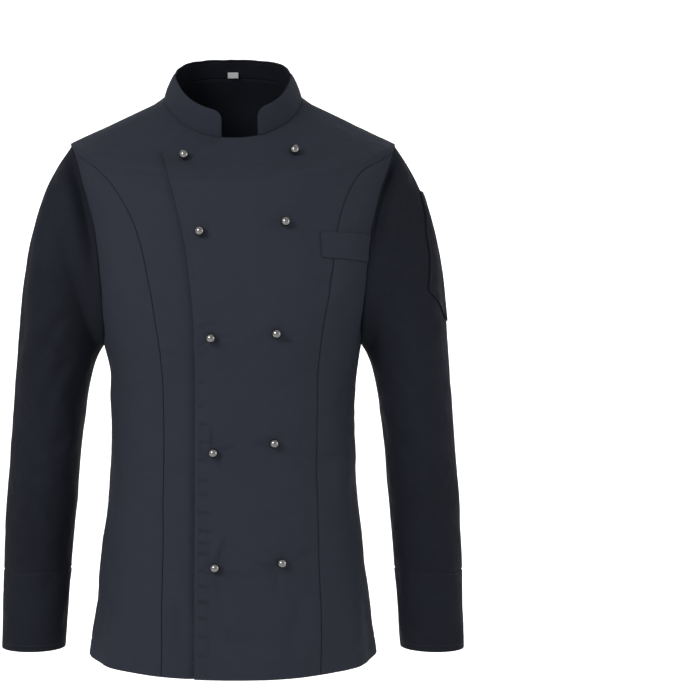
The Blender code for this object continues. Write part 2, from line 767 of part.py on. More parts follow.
# ---------------------------------------------------------------- pockets and label
def welt_pocket(name):
    """The chest pocket's welt, lying on the wearer's left front from near the lap to the armhole."""
    points = {}
    normals = {}
    for j in range(WELT_ROWS):
        for i in range(WELT_COLUMNS):
            share = i / (WELT_COLUMNS - 1)
            drop = WELT_DEPTH * j / (WELT_ROWS - 1)
            start, height = ring_at(WELT_START, WELT_TOP + WELT_SLOPE * share * WELT_DEPTH - drop)
            step = math.degrees(math.acos((height - ARMHOLE_MIDDLE) / ARMHOLE_HALF))
            angle = between(start, armhole(step)[0] - WELT_CLEAR, share)
            points[j, i] = torso(angle, height, PATCH_GAP + CLOTH)
            normals[j, i] = torso_normal(angle, height)
    return solid_of(name, WELT_ROWS, WELT_COLUMNS, points, normals, closed=False)


def pen_pocket(name):
    """The pen pocket on the outside of the wearer's left sleeve, with a pointed bottom."""
    points = {}
    normals = {}
    for j in range(PEN_ROWS):
        for i in range(PEN_COLUMNS):
            across = i / (PEN_COLUMNS - 1)
            pointed = 1.0 - abs(2.0 * across - 1.0)
            bottom = between(PEN_POCKET_SIDE, PEN_POCKET_POINT, pointed)
            down = j / (PEN_ROWS - 1)
            front = between(PEN_FRONT_TOP, PEN_FRONT_BOTTOM, down)
            step = front - PEN_TURN * across
            station = station_at(step, between(PEN_POCKET_TOP, bottom, down))
            normal = sleeve_normal(station, step)
            points[j, i] = sleeve(station, step) + normal * (SLEEVE_PATCH_GAP + CLOTH)
            normals[j, i] = normal
    return solid_of(name, PEN_ROWS, PEN_COLUMNS, points, normals, closed=False)


def size_label(name):
    """A small blank folded label, sewn inside the collar at the back of the neck."""
    points = {}
    normals = {}
    last = LABEL_POINTS - 1
    for j in range(LABEL_POINTS):
        for i in range(LABEL_POINTS):
            x = LABEL_WIDTH * (i / last - 0.5)
            share = between(LABEL_TOP, LABEL_FOOT, j / last)
            inside = collar_point(180.0, share) - collar_normal(180.0, share) * (CLOTH + PATCH_GAP)
            points[j, i] = Vector((x, inside.y, inside.z))
            normals[j, i] = Vector((0.0, -1.0, 0.0))
    count = LABEL_POINTS
    return solid_of(name, count, count, points, normals, closed=False, thickness=-LABEL_THICK)


# ---------------------------------------------------------------- studs
def stud(name, x, z):
    """A polished ball stud on its short shank and foot, standing on the cloth."""
    angle, height = ring_at(x, z)
    out = torso_normal(angle, height)
    base = torso(angle, height, lap_lift(angle, height)) + out * PATCH_GAP
    profile = [(0.0, 0.0), (FOOT_RADIUS, 0.0), (FOOT_RADIUS, FOOT_THICK), (SHANK_RADIUS, FOOT_THICK)]
    low = FOOT_THICK + SHANK_LENGTH
    ball = low + BALL_RADIUS * math.sqrt(1.0 - (SHANK_RADIUS / BALL_RADIUS) ** 2)
    start = math.asin(SHANK_RADIUS / BALL_RADIUS)
    for k in range(BALL_ROWS):
        turn = between(start, math.pi, k / BALL_ROWS)
        profile.append((BALL_RADIUS * math.sin(turn), ball - BALL_RADIUS * math.cos(turn)))
    profile.append((0.0, ball + BALL_RADIUS))
    bm = bmesh.new()
    ring = [bm.verts.new((r, 0.0, h)) for r, h in profile]
    lines = [bm.edges.new((a, b)) for a, b in zip(ring, ring[1:])]
    bmesh.ops.spin(
        bm, geom=ring + lines, cent=(0, 0, 0), axis=(0, 0, 1), angle=2 * math.pi, steps=BALL_TURNS
    )
    bmesh.ops.remove_doubles(bm, verts=bm.verts, dist=WELD)
    turned = Vector((0, 0, 1)).rotation_difference(out).to_matrix().to_4x4()
    bmesh.ops.transform(bm, matrix=turned, verts=bm.verts)
    bmesh.ops.translate(bm, vec=base, verts=bm.verts)
    made = finished(name, bm)
    made.data.shade_smooth()
    made.data.set_sharp_from_angle(angle=math.radians(SHARP_ANGLE))
    return made


def main():
    for old in list(bpy.data.objects):
        bpy.data.objects.remove(old, do_unlink=True)

    body_cloth = material("navy_twill", (0.018, 0.021, 0.031), 0.82)
    collar_cloth = material("navy_twill_double", (0.019, 0.021, 0.028), 0.80)
    label_tape = material("white_label_tape", (0.74, 0.74, 0.77), 0.70)
    steel = material("polished_steel", (0.80, 0.80, 0.82), 0.12, metallic=1.0)

    cloth = [
        back_panel("back"),
        centre_front("front_right", "princess_right", -1.0, "under_edge", laps=False),
        centre_front("front_left", "princess_left", 1.0, "lap_edge", laps=True),
        side_front("side_front_right", "princess_right", -1.0),
        side_front("side_front_left", "princess_left", 1.0),
        welt_pocket("chest_pocket_welt"),
        pen_pocket("sleeve_pen_pocket"),
    ]
    for side, word in ((-1.0, "right"), (1.0, "left")):
        cloth.append(sleeve_tube(f"sleeve_{word}", stations_between(0, CUFF_SEAM, SLEEVE_RINGS), side))
        cuff = stations_between(CUFF_SEAM, len(SLEEVE) - 1, CUFF_RINGS)
        cloth.append(sleeve_tube(f"cuff_{word}", cuff, side))
    for piece in cloth:
        piece.data.materials.append(body_cloth)
    collar("stand_collar").data.materials.append(collar_cloth)
    size_label("size_label").data.materials.append(label_tape)
    for row in STUDS:
        stud(f"stud_right_{row.row}", row.right_x, row.height).data.materials.append(steel)
        stud(f"stud_left_{row.row}", row.left_x, row.left_height).data.materials.append(steel)


main()
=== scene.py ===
"""A women's double-breasted chef jacket, filled out as if worn, with nobody in it.

Metres, +Z up, the wearer facing -Y, so the wearer's left is at +X. The origin is the middle of the
neck, level with the points where the shoulder seams meet the collar. The packed frame gives the
place and size of every piece. This file gives each one its thin folded cloth, its stitches, its
buttonhole eyelets and its finish, and puts the jacket on a plain pale stage.
"""

import math
from collections import namedtuple

import bmesh
import bpy
import numpy as np
from bpy.props import FloatProperty, FloatVectorProperty, IntProperty, PointerProperty
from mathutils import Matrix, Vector


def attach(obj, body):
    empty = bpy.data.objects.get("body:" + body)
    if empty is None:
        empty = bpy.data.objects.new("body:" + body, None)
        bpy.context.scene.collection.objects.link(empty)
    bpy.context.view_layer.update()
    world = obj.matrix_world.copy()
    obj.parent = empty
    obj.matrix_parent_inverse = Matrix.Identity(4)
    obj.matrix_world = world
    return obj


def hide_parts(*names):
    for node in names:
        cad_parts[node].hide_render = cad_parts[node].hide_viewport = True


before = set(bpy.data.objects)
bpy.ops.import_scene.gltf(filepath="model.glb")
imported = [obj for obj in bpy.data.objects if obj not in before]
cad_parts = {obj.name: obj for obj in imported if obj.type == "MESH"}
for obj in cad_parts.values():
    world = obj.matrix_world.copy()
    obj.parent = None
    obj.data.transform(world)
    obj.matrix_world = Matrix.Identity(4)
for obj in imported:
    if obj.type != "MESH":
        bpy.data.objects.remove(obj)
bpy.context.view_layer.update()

bl_info = {
    "name": "Chef Jacket",
    "version": (1, 0, 0),
    "blender": (4, 5, 0),
    "location": "View3D > Sidebar > Chef Jacket",
    "description": "Makes a hollow chef jacket's cloth, stitching, studs and stage round its frame",
    "category": "Object",
}

# ---------------------------------------------------------------- torso
# Rings through the torso. height: of the ring's side points. half_width, front, back: its reaches
# from centre, which is its middle in Y. front_drop, back_rise: how far its front hangs and its back
# climbs from its sides. curl: 1 where the back climbs close beside the neck, 0 where it climbs
# further in. squareness: 2 is an ellipse, more is squarer.
Section = namedtuple(
    "Section", "name height half_width front back centre front_drop back_rise curl squareness"
)
SECTIONS = [
    Section("neck", 0.004, 0.080, 0.0715, 0.040, 0.010, 0.056, 0.0325, 0.6, 2.30),
    Section("mid_shoulder", -0.022, 0.134, 0.0850, 0.070, 0.008, 0.055, 0.0290, 0.0, 2.25),
    Section("shoulder_tip", -0.050, 0.190, 0.0980, 0.088, 0.006, 0.045, 0.0220, 0.0, 2.25),
    Section("across_chest", -0.110, 0.183, 0.1070, 0.104, 0.004, 0.022, 0.0120, 0.0, 2.35),
    Section("upper_bust", -0.180, 0.170, 0.1140, 0.107, 0.002, 0.008, 0.0040, 0.0, 2.40),
    Section("bust", -0.240, 0.158, 0.1180, 0.103, 0.000, 0.000, 0.0000, 0.0, 2.35),
    Section("underarm", -0.283, 0.1500, 0.1150, 0.097, 0.000, 0.000, 0.0000, 0.0, 2.30),
    Section("high_waist", -0.335, 0.1425, 0.1060, 0.088, 0.000, 0.000, 0.0000, 0.0, 2.30),
    Section("waist", -0.390, 0.1415, 0.1010, 0.084, 0.000, 0.000, 0.0000, 0.0, 2.30),
    Section("high_hip", -0.480, 0.1465, 0.1070, 0.098, 0.000, 0.000, 0.0000, 0.0, 2.30),
    Section("hip", -0.580, 0.1560, 0.1150, 0.112, 0.000, 0.000, 0.0000, 0.0, 2.30),
    Section("hem", -0.646, 0.1635, 0.1180, 0.117, 0.000, 0.000, 0.0000, 0.0, 2.30),
]
FRONT_DROP_BEND = 1.5
NECK = SECTIONS[0]
TIP = SECTIONS[2]
UNDERARM = SECTIONS[6]
HEM = SECTIONS[-1]
HEM_DIP = 0.012

# Rounded fullness of the form. angle: degrees from the centre front. spread: degrees.
# rise: its half-length in height. out: how far it stands out.
Bulge = namedtuple("Bulge", "name angle spread height rise out")
BULGES = [
    Bulge("bust", 40.0, 20.0, -0.225, 0.060, 0.0075),
    Bulge("shoulder_blade", 142.0, 24.0, -0.150, 0.075, 0.0050),
    Bulge("seat", 150.0, 30.0, -0.560, 0.090, 0.0040),
]

# The hem's soft flutes. angle and spread in degrees round the body, top: where one begins.
Flute = namedtuple("Flute", "name angle spread top out")
FLUTES = [
    Flute("front_right", -52.0, 8.0, -0.420, 0.0035),
    Flute("front_left", 57.0, 9.0, -0.440, 0.0030),
    Flute("side_right", -83.0, 8.0, -0.400, 0.0035),
    Flute("side_left", 86.0, 8.0, -0.410, 0.0035),
    Flute("back_right", -128.0, 11.0, -0.420, 0.0060),
    Flute("back_middle", 176.0, 13.0, -0.440, 0.0045),
    Flute("back_left", 131.0, 12.0, -0.430, 0.0055),
]

# Where each line of the front runs, as distances from the centre at each height: the princess
# seams, and the edges of the two fronts that lap over each other.
Line = namedtuple("Line", "height princess_right princess_left lap_edge under_edge")
FRONT_LINES = [
    Line(-0.052, -0.1850, 0.1835, -0.0835, 0.047),
    Line(-0.062, -0.1765, 0.1725, -0.0810, 0.050),
    Line(-0.080, -0.1610, 0.1550, -0.0765, 0.055),
    Line(-0.100, -0.1420, 0.1390, -0.0712, 0.060),
    Line(-0.115, -0.1310, 0.1300, -0.0672, 0.062),
    Line(-0.138, -0.1175, 0.1215, -0.0612, 0.063),
    Line(-0.165, -0.1050, 0.1142, -0.0547, 0.064),
    Line(-0.208, -0.0928, 0.1063, -0.0480, 0.064),
    Line(-0.262, -0.0838, 0.0980, -0.0430, 0.064),
    Line(-0.325, -0.0783, 0.0943, -0.0416, 0.064),
    Line(-0.425, -0.0773, 0.0938, -0.0417, 0.064),
    Line(-0.560, -0.0785, 0.0967, -0.0420, 0.065),
    Line(-0.650, -0.0792, 0.0978, -0.0420, 0.066),
]
LAP_LIFT = 0.0028
LAP_CLEAR = 0.003
LAP_RAMP = 0.032
LAP_CORNER_RIGHT = (-0.081, -0.0635)
LAP_CORNER_LEFT = (0.051, -0.0600)
LAP_SAG_END = -0.0725
LAP_CORNER_FADE = 0.012
LAP_STITCH_IN = 0.006
LAP_GAP_TOP = 0.0012
LAP_GAP_HEM = 0.0026
LAP_GAP_REACH = 0.0060
# The gap and the painted shade under the lap widen from GAP_WIDENS_FROM downwards, over GAP_WIDENS_OVER.
GAP_WIDENS_FROM = -0.15
GAP_WIDENS_OVER = 0.40
# Painted shade beside the lap's edge: where cloth is darkest, how wide on the front under it at
# the top and at the hem, how fast it fades there, and where it starts and how fast it fades on
# the lap itself.
SHADE_DEEP = 0.0030
SHADE_WIDE_TOP = 0.0026
SHADE_WIDE_HEM = 0.0046
SHADE_FADE = 0.8
EDGE_SHADE_DEEP = 0.0018
EDGE_SHADE_FADE = 1.6

# ---------------------------------------------------------------- armholes and sleeves
PRINCESS_STEP = 16.0
ARMHOLE_FRONT = 29.0
ARMHOLE_BACK = 26.0
ARMHOLE_FLAT = 0.80

# Rings of a sleeve. outer_x, outer_z and inner_x, inner_z: its outermost and innermost points.
# front, back: its reaches in Y from centre.
Cut = namedtuple("Cut", "name outer_x outer_z inner_x inner_z front back centre")
SLEEVE = [
    Cut("armhole", 0.190, -0.050, 0.150, -0.283, 0.054, 0.054, 0.004),
    Cut("cap", 0.2085, -0.079, 0.1560, -0.292, 0.060, 0.060, 0.004),
    Cut("upper_cap", 0.2265, -0.120, 0.1620, -0.305, 0.064, 0.064, 0.003),
    Cut("biceps", 0.2418, -0.182, 0.1680, -0.328, 0.065, 0.064, 0.002),
    Cut("upper_arm", 0.2503, -0.252, 0.1735, -0.360, 0.063, 0.061, 0.002),
    Cut("above_elbow", 0.2562, -0.330, 0.1785, -0.402, 0.059, 0.057, 0.003),
    Cut("elbow", 0.2620, -0.410, 0.1830, -0.455, 0.055, 0.053, 0.003),
    Cut("forearm", 0.2670, -0.480, 0.1870, -0.505, 0.051, 0.048, 0.000),
    Cut("cuff_seam", 0.2690, -0.549, 0.1905, -0.549, 0.046, 0.044, -0.004),
    Cut("cuff_edge", 0.2705, -0.640, 0.1965, -0.640, 0.041, 0.040, -0.010),
]
CUFF_SEAM = 8.0
CUFF_EDGE = 9.0
SLEEVE_JOIN = 1.6

# ---------------------------------------------------------------- collar
COLLAR_TILT = 36.0
COLLAR_FRONT = 0.033
COLLAR_BACK = 0.026
COLLAR_LEAN_SIDE = 0.013
COLLAR_LEAN_FRONT = 0.003
COLLAR_LEAN_START = 0.55
COLLAR_NARROWS_FROM = 100.0
COLLAR_NARROWS_OVER = 70.0
COLLAR_CORNER = 0.011
COLLAR_END_RIGHT = -0.013
COLLAR_END_LEFT = 0.027

# ---------------------------------------------------------------- pockets and label
WELT_START = 0.0955
WELT_TOP = -0.162
WELT_DEPTH = 0.029
WELT_FALL = 0.0052
WELT_WIDE = 0.062
WELT_LIFT = 0.0017
WELT_GAPE = 0.0010
WELT_CLEAR = 1.2
PEN_POCKET_TOP = -0.108
PEN_WIDE = 0.10
PEN_DEEP = 0.13
PEN_GAPE = 0.0012
PEN_MOUTH = 0.16
PEN_POCKET_SIDE = -0.226
PEN_POCKET_POINT = -0.260
PEN_FRONT_TOP = 24.0
PEN_FRONT_BOTTOM = 62.0
PEN_TURN = 88.0
LABEL_WIDTH = 0.0125
LABEL_TOP = 0.30
LABEL_FOOT = -0.02

# ---------------------------------------------------------------- studs
Stud = namedtuple("Stud", "row height right_x left_x left_height")
STUDS = [
    Stud(1, -0.0782, -0.0542, 0.0682, -0.0711),
    Stud(2, -0.1639, -0.0363, 0.0564, -0.1533),
    Stud(3, -0.2805, -0.0240, 0.0457, -0.2754),
    Stud(4, -0.4085, -0.0213, 0.0439, -0.3980),
    Stud(5, -0.5350, -0.0196, 0.0520, -0.5303),
]
SHANK_RADIUS = 0.0021
SHANK_LENGTH = 0.0012
FOOT_RADIUS = 0.0034
FOOT_THICK = 0.0006

# ---------------------------------------------------------------- creases
# A crease runs from one point to another. wide: its half-width. out: how far it stands out, or in
# where it is negative. beside: how far the cloth next to it goes the other way. bend: how far its
# middle strays to its left.
Crease = namedtuple("Crease", "name x0 z0 x1 z1 wide out beside bend")

# On the fronts, by x and z.
FRONT_CREASES = [
    Crease("over_stud_3", -0.040, -0.2700, -0.011, -0.2660, 0.0026, -0.0010, 0.0007, 0.0010),
    Crease("under_stud_3", -0.022, -0.2890, 0.002, -0.3020, 0.0034, -0.0010, 0.0006, 0.0015),
    Crease("right_of_stud_3", -0.019, -0.2800, 0.006, -0.2770, 0.0030, -0.0007, 0.0005, -0.0010),
    Crease("left_of_stud_3", -0.030, -0.2860, -0.039, -0.2930, 0.0022, -0.0008, 0.0005, 0.0000),
    Crease("over_stud_4", -0.0225, -0.4020, -0.0200, -0.3740, 0.0026, -0.0012, 0.0008, 0.0012),
    Crease("left_of_stud_4", -0.027, -0.4100, -0.040, -0.4030, 0.0022, -0.0009, 0.0006, 0.0008),
    Crease("right_of_stud_4", -0.016, -0.4080, 0.012, -0.4020, 0.0032, -0.0010, 0.0007, 0.0018),
    Crease("under_stud_4", -0.018, -0.4150, 0.002, -0.4330, 0.0036, -0.0009, 0.0006, -0.0020),
    Crease("over_stud_5", -0.0165, -0.5300, -0.0010, -0.4950, 0.0034, -0.0015, 0.0010, 0.0020),
    Crease("left_of_stud_5", -0.025, -0.5370, -0.040, -0.5340, 0.0022, -0.0010, 0.0006, 0.0000),
    Crease("right_of_stud_5", -0.013, -0.5400, 0.030, -0.5560, 0.0044, -0.0013, 0.0009, 0.0030),
    Crease("under_stud_5", -0.018, -0.5440, -0.008, -0.5760, 0.0040, -0.0010, 0.0006, -0.0015),
    Crease("stud_5_left_side", 0.048, -0.5350, 0.024, -0.5270, 0.0036, -0.0012, 0.0008, 0.0015),
    Crease("stud_5_outer", 0.061, -0.5300, 0.094, -0.5150, 0.0042, -0.0010, 0.0007, -0.0015),
    Crease("stud_5_below", 0.052, -0.5400, 0.043, -0.5680, 0.0042, -0.0008, 0.0006, 0.0010),
    Crease("stud_4_left_side", 0.040, -0.3990, 0.022, -0.3950, 0.0030, -0.0008, 0.0005, 0.0006),
    Crease("stud_4_outer", 0.054, -0.4040, 0.088, -0.4260, 0.0044, -0.0012, 0.0008, 0.0020),
    Crease("stud_3_outer", 0.055, -0.2800, 0.080, -0.2960, 0.0040, -0.0007, 0.0005, 0.0010),
    Crease("stud_2_outer", 0.064, -0.1540, 0.086, -0.1680, 0.0036, -0.0005, 0.0004, 0.0010),
    Crease("stud_2_left", -0.034, -0.1640, -0.012, -0.1760, 0.0036, -0.0005, 0.0004, 0.0010),
    Crease("stud_1_left", -0.050, -0.0790, -0.028, -0.0930, 0.0036, -0.0005, 0.0004, -0.0008),
    Crease("right_panel_high", -0.084, -0.2950, -0.048, -0.3080, 0.0048, -0.0011, 0.0007, 0.0020),
    Crease("right_panel_bust", -0.088, -0.2400, -0.056, -0.2560, 0.0060, -0.0009, 0.0006, 0.0020),
    Crease("right_panel_waist", -0.079, -0.4140, -0.050, -0.4230, 0.0046, -0.0009, 0.0006, -0.0015),
    Crease("right_side_waist", -0.124, -0.4280, -0.082, -0.4360, 0.0052, -0.0012, 0.0008, 0.0020),
    Crease("right_side_high", -0.128, -0.3420, -0.084, -0.3300, 0.0060, -0.0012, 0.0008, -0.0020),
    Crease("left_side_waist", 0.130, -0.4060, 0.096, -0.4200, 0.0056, -0.0012, 0.0008, 0.0020),
    Crease("left_bust_drag", 0.118, -0.2080, 0.070, -0.2360, 0.0080, -0.0014, 0.0010, 0.0040),
    Crease("belly_drag", 0.080, -0.4700, 0.020, -0.4860, 0.0090, -0.0012, 0.0008, 0.0040),
    Crease("hem_drag", -0.010, -0.6050, 0.050, -0.6260, 0.0100, -0.0016, 0.0010, -0.0050),
    Crease("hem_fold_left", 0.074, -0.5600, 0.062, -0.6500, 0.0110, -0.0020, 0.0012, 0.0040),
    Crease("hem_fold_right", -0.062, -0.5700, -0.058, -0.6500, 0.0090, -0.0016, 0.0010, 0.0030),
]

# On the back, by x and z.
BACK_CREASES = [
    Crease("blade_left", 0.118, -0.1500, 0.074, -0.3300, 0.0130, -0.0030, 0.0018, 0.0120),
    Crease("blade_right", -0.116, -0.1400, -0.082, -0.3200, 0.0120, -0.0026, 0.0016, -0.0100),
    Crease("blade_left_inner", 0.082, -0.2050, 0.044, -0.3450, 0.0090, -0.0018, 0.0012, 0.0080),
    Crease("waist_left", 0.112, -0.3760, 0.028, -0.3980, 0.0085, -0.0024, 0.0015, 0.0060),
    Crease("waist_right", -0.118, -0.3660, -0.022, -0.3900, 0.0090, -0.0026, 0.0016, -0.0070),
    Crease("waist_low_left", 0.096, -0.4120, 0.010, -0.4200, 0.0075, -0.0018, 0.0012, 0.0050),
    Crease("waist_low_right", -0.104, -0.4060, -0.036, -0.4240, 0.0075, -0.0020, 0.0012, -0.0050),
    Crease("under_collar", -0.046, -0.0400, 0.040, -0.0440, 0.0100, -0.0016, 0.0010, -0.0090),
    Crease("seat_left", 0.060, -0.4500, 0.072, -0.6300, 0.0140, -0.0024, 0.0016, -0.0080),
    Crease("seat_right", -0.040, -0.4600, -0.062, -0.6400, 0.0140, -0.0026, 0.0016, 0.0080),
]

# On a sleeve, by the distance round it from its outermost line towards the front, and by height.
SLEEVE_CREASES = [
    Crease("underarm_front", 0.112, -0.2500, 0.074, -0.3350, 0.0090, -0.0014, 0.0009, -0.0060),
    Crease("underarm_low", 0.132, -0.3000, 0.088, -0.3800, 0.0085, -0.0011, 0.0007, -0.0050),
    Crease("elbow_high", 0.150, -0.3860, 0.060, -0.4120, 0.0080, -0.0008, 0.0006, 0.0060),
    Crease("elbow_low", 0.146, -0.4240, 0.078, -0.4360, 0.0075, -0.0007, 0.0005, -0.0050),
    Crease("forearm_front", 0.080, -0.4600, 0.104, -0.5440, 0.0095, -0.0008, 0.0006, 0.0040),
    Crease("outer_long", 0.018, -0.1500, 0.034, -0.3700, 0.0140, -0.0010, 0.0007, 0.0060),
    Crease("cap_front", 0.052, -0.0900, 0.060, -0.2000, 0.0100, -0.0014, 0.0009, -0.0060),
    Crease("elbow_back", -0.120, -0.3800, -0.036, -0.4180, 0.0090, -0.0026, 0.0017, -0.0080),
    Crease("elbow_back_low", -0.128, -0.4300, -0.052, -0.4520, 0.0080, -0.0022, 0.0014, 0.0060),
    Crease("back_long", -0.064, -0.1400, -0.082, -0.3500, 0.0130, -0.0028, 0.0018, 0.0080),
    Crease("underarm_back", -0.124, -0.2650, -0.076, -0.3500, 0.0090, -0.0024, 0.0015, 0.0070),
    Crease("forearm_back", -0.060, -0.4900, -0.074, -0.5440, 0.0080, -0.0016, 0.0010, 0.0030),
]

# Short puckers beside the lap's edge. reach: how far in from the edge. half: half its height.
Pucker = namedtuple("Pucker", "height start reach half deep")
PUCKERS = [
    Pucker(-0.2120, 0.003, 0.009, 0.0016, 0.0004),
    Pucker(-0.2560, 0.003, 0.010, 0.0015, 0.0005),
    Pucker(-0.2980, 0.002, 0.011, 0.0016, 0.0006),
    Pucker(-0.3300, 0.003, 0.010, 0.0014, 0.0006),
    Pucker(-0.3560, 0.002, 0.012, 0.0016, 0.0008),
    Pucker(-0.3760, 0.003, 0.013, 0.0015, 0.0010),
    Pucker(-0.3960, 0.003, 0.014, 0.0017, 0.0011),
    Pucker(-0.4160, 0.002, 0.013, 0.0015, 0.0010),
    Pucker(-0.4380, 0.003, 0.012, 0.0016, 0.0011),
    Pucker(-0.4540, 0.003, 0.014, 0.0014, 0.0010),
    Pucker(-0.4740, 0.002, 0.015, 0.0016, 0.0012),
    Pucker(-0.4940, 0.003, 0.017, 0.0017, 0.0013),
    Pucker(-0.5070, 0.003, 0.015, 0.0014, 0.0012),
    Pucker(-0.5190, 0.002, 0.016, 0.0015, 0.0012),
    Pucker(-0.5380, 0.003, 0.014, 0.0016, 0.0013),
    Pucker(-0.5540, 0.003, 0.015, 0.0015, 0.0011),
    Pucker(-0.5720, 0.002, 0.016, 0.0017, 0.0013),
    Pucker(-0.5900, 0.003, 0.013, 0.0015, 0.0010),
    Pucker(-0.6100, 0.003, 0.014, 0.0016, 0.0010),
    Pucker(-0.6310, 0.003, 0.012, 0.0015, 0.0008),
]

PUCKER_REACH = 1.35
PUCKER_DIP = 1.9
PUCKER_CREST = 1.0

# ---------------------------------------------------------------- seams, edges and fineness
SEAM_SETTLE = 0.014
SEAM_SINK = 0.0012
SEAM_REACH = 0.0026
EDGE_ROUND = 0.0008
NEAR_EDGE = [0.0, 0.0004, 0.0010, 0.0018, 0.0030]
HEM_DEPTH = 0.018
HEM_GROOVE = 0.00035
GROOVE_REACH = 0.0014
SOLVE_ROUNDS = 30
SOLVE_STEP = 0.75
SHOULDER_ROWS = 46
ARMHOLE_ROWS = 96
LOWER_ROWS = 190
BACK_ROWS_STRIDE = 2
SLEEVE_COLUMNS = 168
WHOLE_TURN = 360.0


# ---------------------------------------------------------------- reading the form
def smooth_curve(xs, ys):
    """A function that reads the smooth curve through the points, held level past its ends."""
    order = np.argsort(xs)
    xs = np.asarray(xs, float)[order]
    ys = np.asarray(ys, float)[order]
    steps = np.diff(ys) / np.diff(xs)
    before, after = steps[:-1], steps[1:]
    same = before * after > 0.0
    inner = np.where(same, 2.0 * before * after / np.where(same, before + after, 1.0), 0.0)
    tangents = np.concatenate([steps[:1], inner, steps[-1:]])

    def read(x):
        x = np.clip(x, xs[0], xs[-1])
        i = np.clip(np.searchsorted(xs, x, side="right") - 1, 0, len(xs) - 2)
        wide = xs[i + 1] - xs[i]
        u = (x - xs[i]) / wide
        rise = ys[i + 1] - ys[i]
        bend_in = tangents[i] * wide - rise
        bend_out = rise - tangents[i + 1] * wide
        return ys[i] + u * rise + u * (1 - u) * ((1 - u) * bend_in + u * bend_out)

    return read


def column(table, key, name):
    return smooth_curve([getattr(row, key) for row in table], [getattr(row, name) for row in table])


FORM = {name: column(SECTIONS, "height", name) for name in Section._fields[2:]}
LINES = {name: column(FRONT_LINES, "height", name) for name in Line._fields[1:]}
SLEEVE_FORM = {
    name: smooth_curve(range(len(SLEEVE)), [getattr(cut, name) for cut in SLEEVE])
    for name in Cut._fields[1:]
}


def smooth_step(u):
    u = np.clip(u, 0.0, 1.0)
    return u * u * (3.0 - 2.0 * u)


def hill(u):
    """1 at 0, falling smoothly to 0 at 1 and beyond, the same both ways."""
    return 1.0 - smooth_step(np.abs(u))


def power(value, exponent):
    return np.copysign(np.abs(value) ** exponent, value)


def between(a, b, u):
    return a + (b - a) * u


def unit(vectors):
    return vectors / np.maximum(np.linalg.norm(vectors, axis=-1, keepdims=True), 1e-12)


def half_width(height):
    """The torso's half-width. The shoulder lines run straight from the neck to the tips."""
    u = (height - TIP.height) / (NECK.height - TIP.height)
    straight = between(TIP.half_width, NECK.half_width, u)
    return np.where(height > TIP.height, straight, FORM["half_width"](height))


def fullness(angle, height):
    """How far the form stands out from its plain ring."""
    out = np.zeros(np.broadcast(angle, height).shape)
    for b in BULGES:
        across = hill((np.abs(angle) - b.angle) / (2 * b.spread))
        out = out + b.out * across * hill((height - b.height) / (2 * b.rise))
    for f in FLUTES:
        away = (angle - f.angle + 180.0) % WHOLE_TURN - 180.0
        grown = smooth_step((f.top - height) / (f.top - HEM.height))
        out = out + f.out * grown * hill(away / (2 * f.spread))
    return out


def torso(angle, height, lift=0.0):
    """Points of the torso form: angle in degrees from the centre front towards the wearer's left."""
    angle, height = np.broadcast_arrays(np.asarray(angle, float), np.asarray(height, float))
    sine = np.sin(np.radians(angle))
    cosine = np.cos(np.radians(angle))
    exponent = 2.0 / FORM["squareness"](height)
    out = fullness((angle + 180.0) % WHOLE_TURN - 180.0, height) + lift
    share = np.abs(cosine) ** exponent
    low = smooth_step((UNDERARM.height - height) / (UNDERARM.height - HEM.height))
    x = half_width(height) * power(sine, exponent) + out * sine
    z = height - HEM_DIP * low * np.abs(cosine)
    climb = between(share * share, smooth_step(share), FORM["curl"](height))
    faces_front = cosine > 0.0
    reach = np.where(faces_front, -FORM["front"](height), FORM["back"](height))
    y = FORM["centre"](height) + reach * share - out * cosine
    fall = -FORM["front_drop"](height) * share**FRONT_DROP_BEND
    z = z + np.where(faces_front, fall, FORM["back_rise"](height) * climb)
    return np.stack([x, y, z], axis=-1)


def torso_normal(angle, height):
    """The torso form's outward direction."""
    angle, height = np.broadcast_arrays(np.asarray(angle, float), np.asarray(height, float))
    low = np.maximum(height - 0.0006, HEM.height)
    high = np.minimum(height + 0.0006, NECK.height)
    round_it = torso(angle + 0.6, height) - torso(angle - 0.6, height)
    return unit(np.cross(round_it, torso(angle, high) - torso(angle, low)))


def angle_of_line(height, line):
    """The angles where a line, given by its distance from the centre at each height, meets rings."""
    angle = np.zeros(np.shape(height))
    for _ in range(SOLVE_ROUNDS):
        target = line(torso(angle, height)[..., 2])
        ratio = np.clip(target / half_width(height), -1.0, 1.0)
        exact = np.degrees(np.arcsin(power(ratio, FORM["squareness"](height) / 2.0)))
        angle = between(angle, exact, SOLVE_STEP)
    return angle


def ring_at(x, z):
    """The angle and ring height of the point of the front at x and z."""
    x, z = np.broadcast_arrays(np.asarray(x, float), np.asarray(z, float))
    height = z.copy()
    angle = np.zeros(z.shape)
    for _ in range(SOLVE_ROUNDS):
        angle = angle_of_line(height, lambda _z: x)
        height = height + SOLVE_STEP * (z - torso(angle, height)[..., 2])
    return angle, height


ARMHOLE_MIDDLE = (TIP.height + UNDERARM.height) / 2
ARMHOLE_HALF = (TIP.height - UNDERARM.height) / 2


def armhole(step):
    """Angle and height of the armhole at a step round it, in degrees: 0 at the tip, 90 in front."""
    turn = np.radians(step)
    reach = np.where(np.sin(turn) >= 0, ARMHOLE_FRONT, ARMHOLE_BACK)
    angle = 90.0 - reach * power(np.sin(turn), ARMHOLE_FLAT)
    return angle, ARMHOLE_MIDDLE + ARMHOLE_HALF * np.cos(turn)


def armhole_step(height):
    """The step where the armhole is at a height, kept to 0 above it and 180 below it."""
    cosine = np.clip((height - ARMHOLE_MIDDLE) / ARMHOLE_HALF, -1.0, 1.0)
    return np.degrees(np.arccos(cosine))


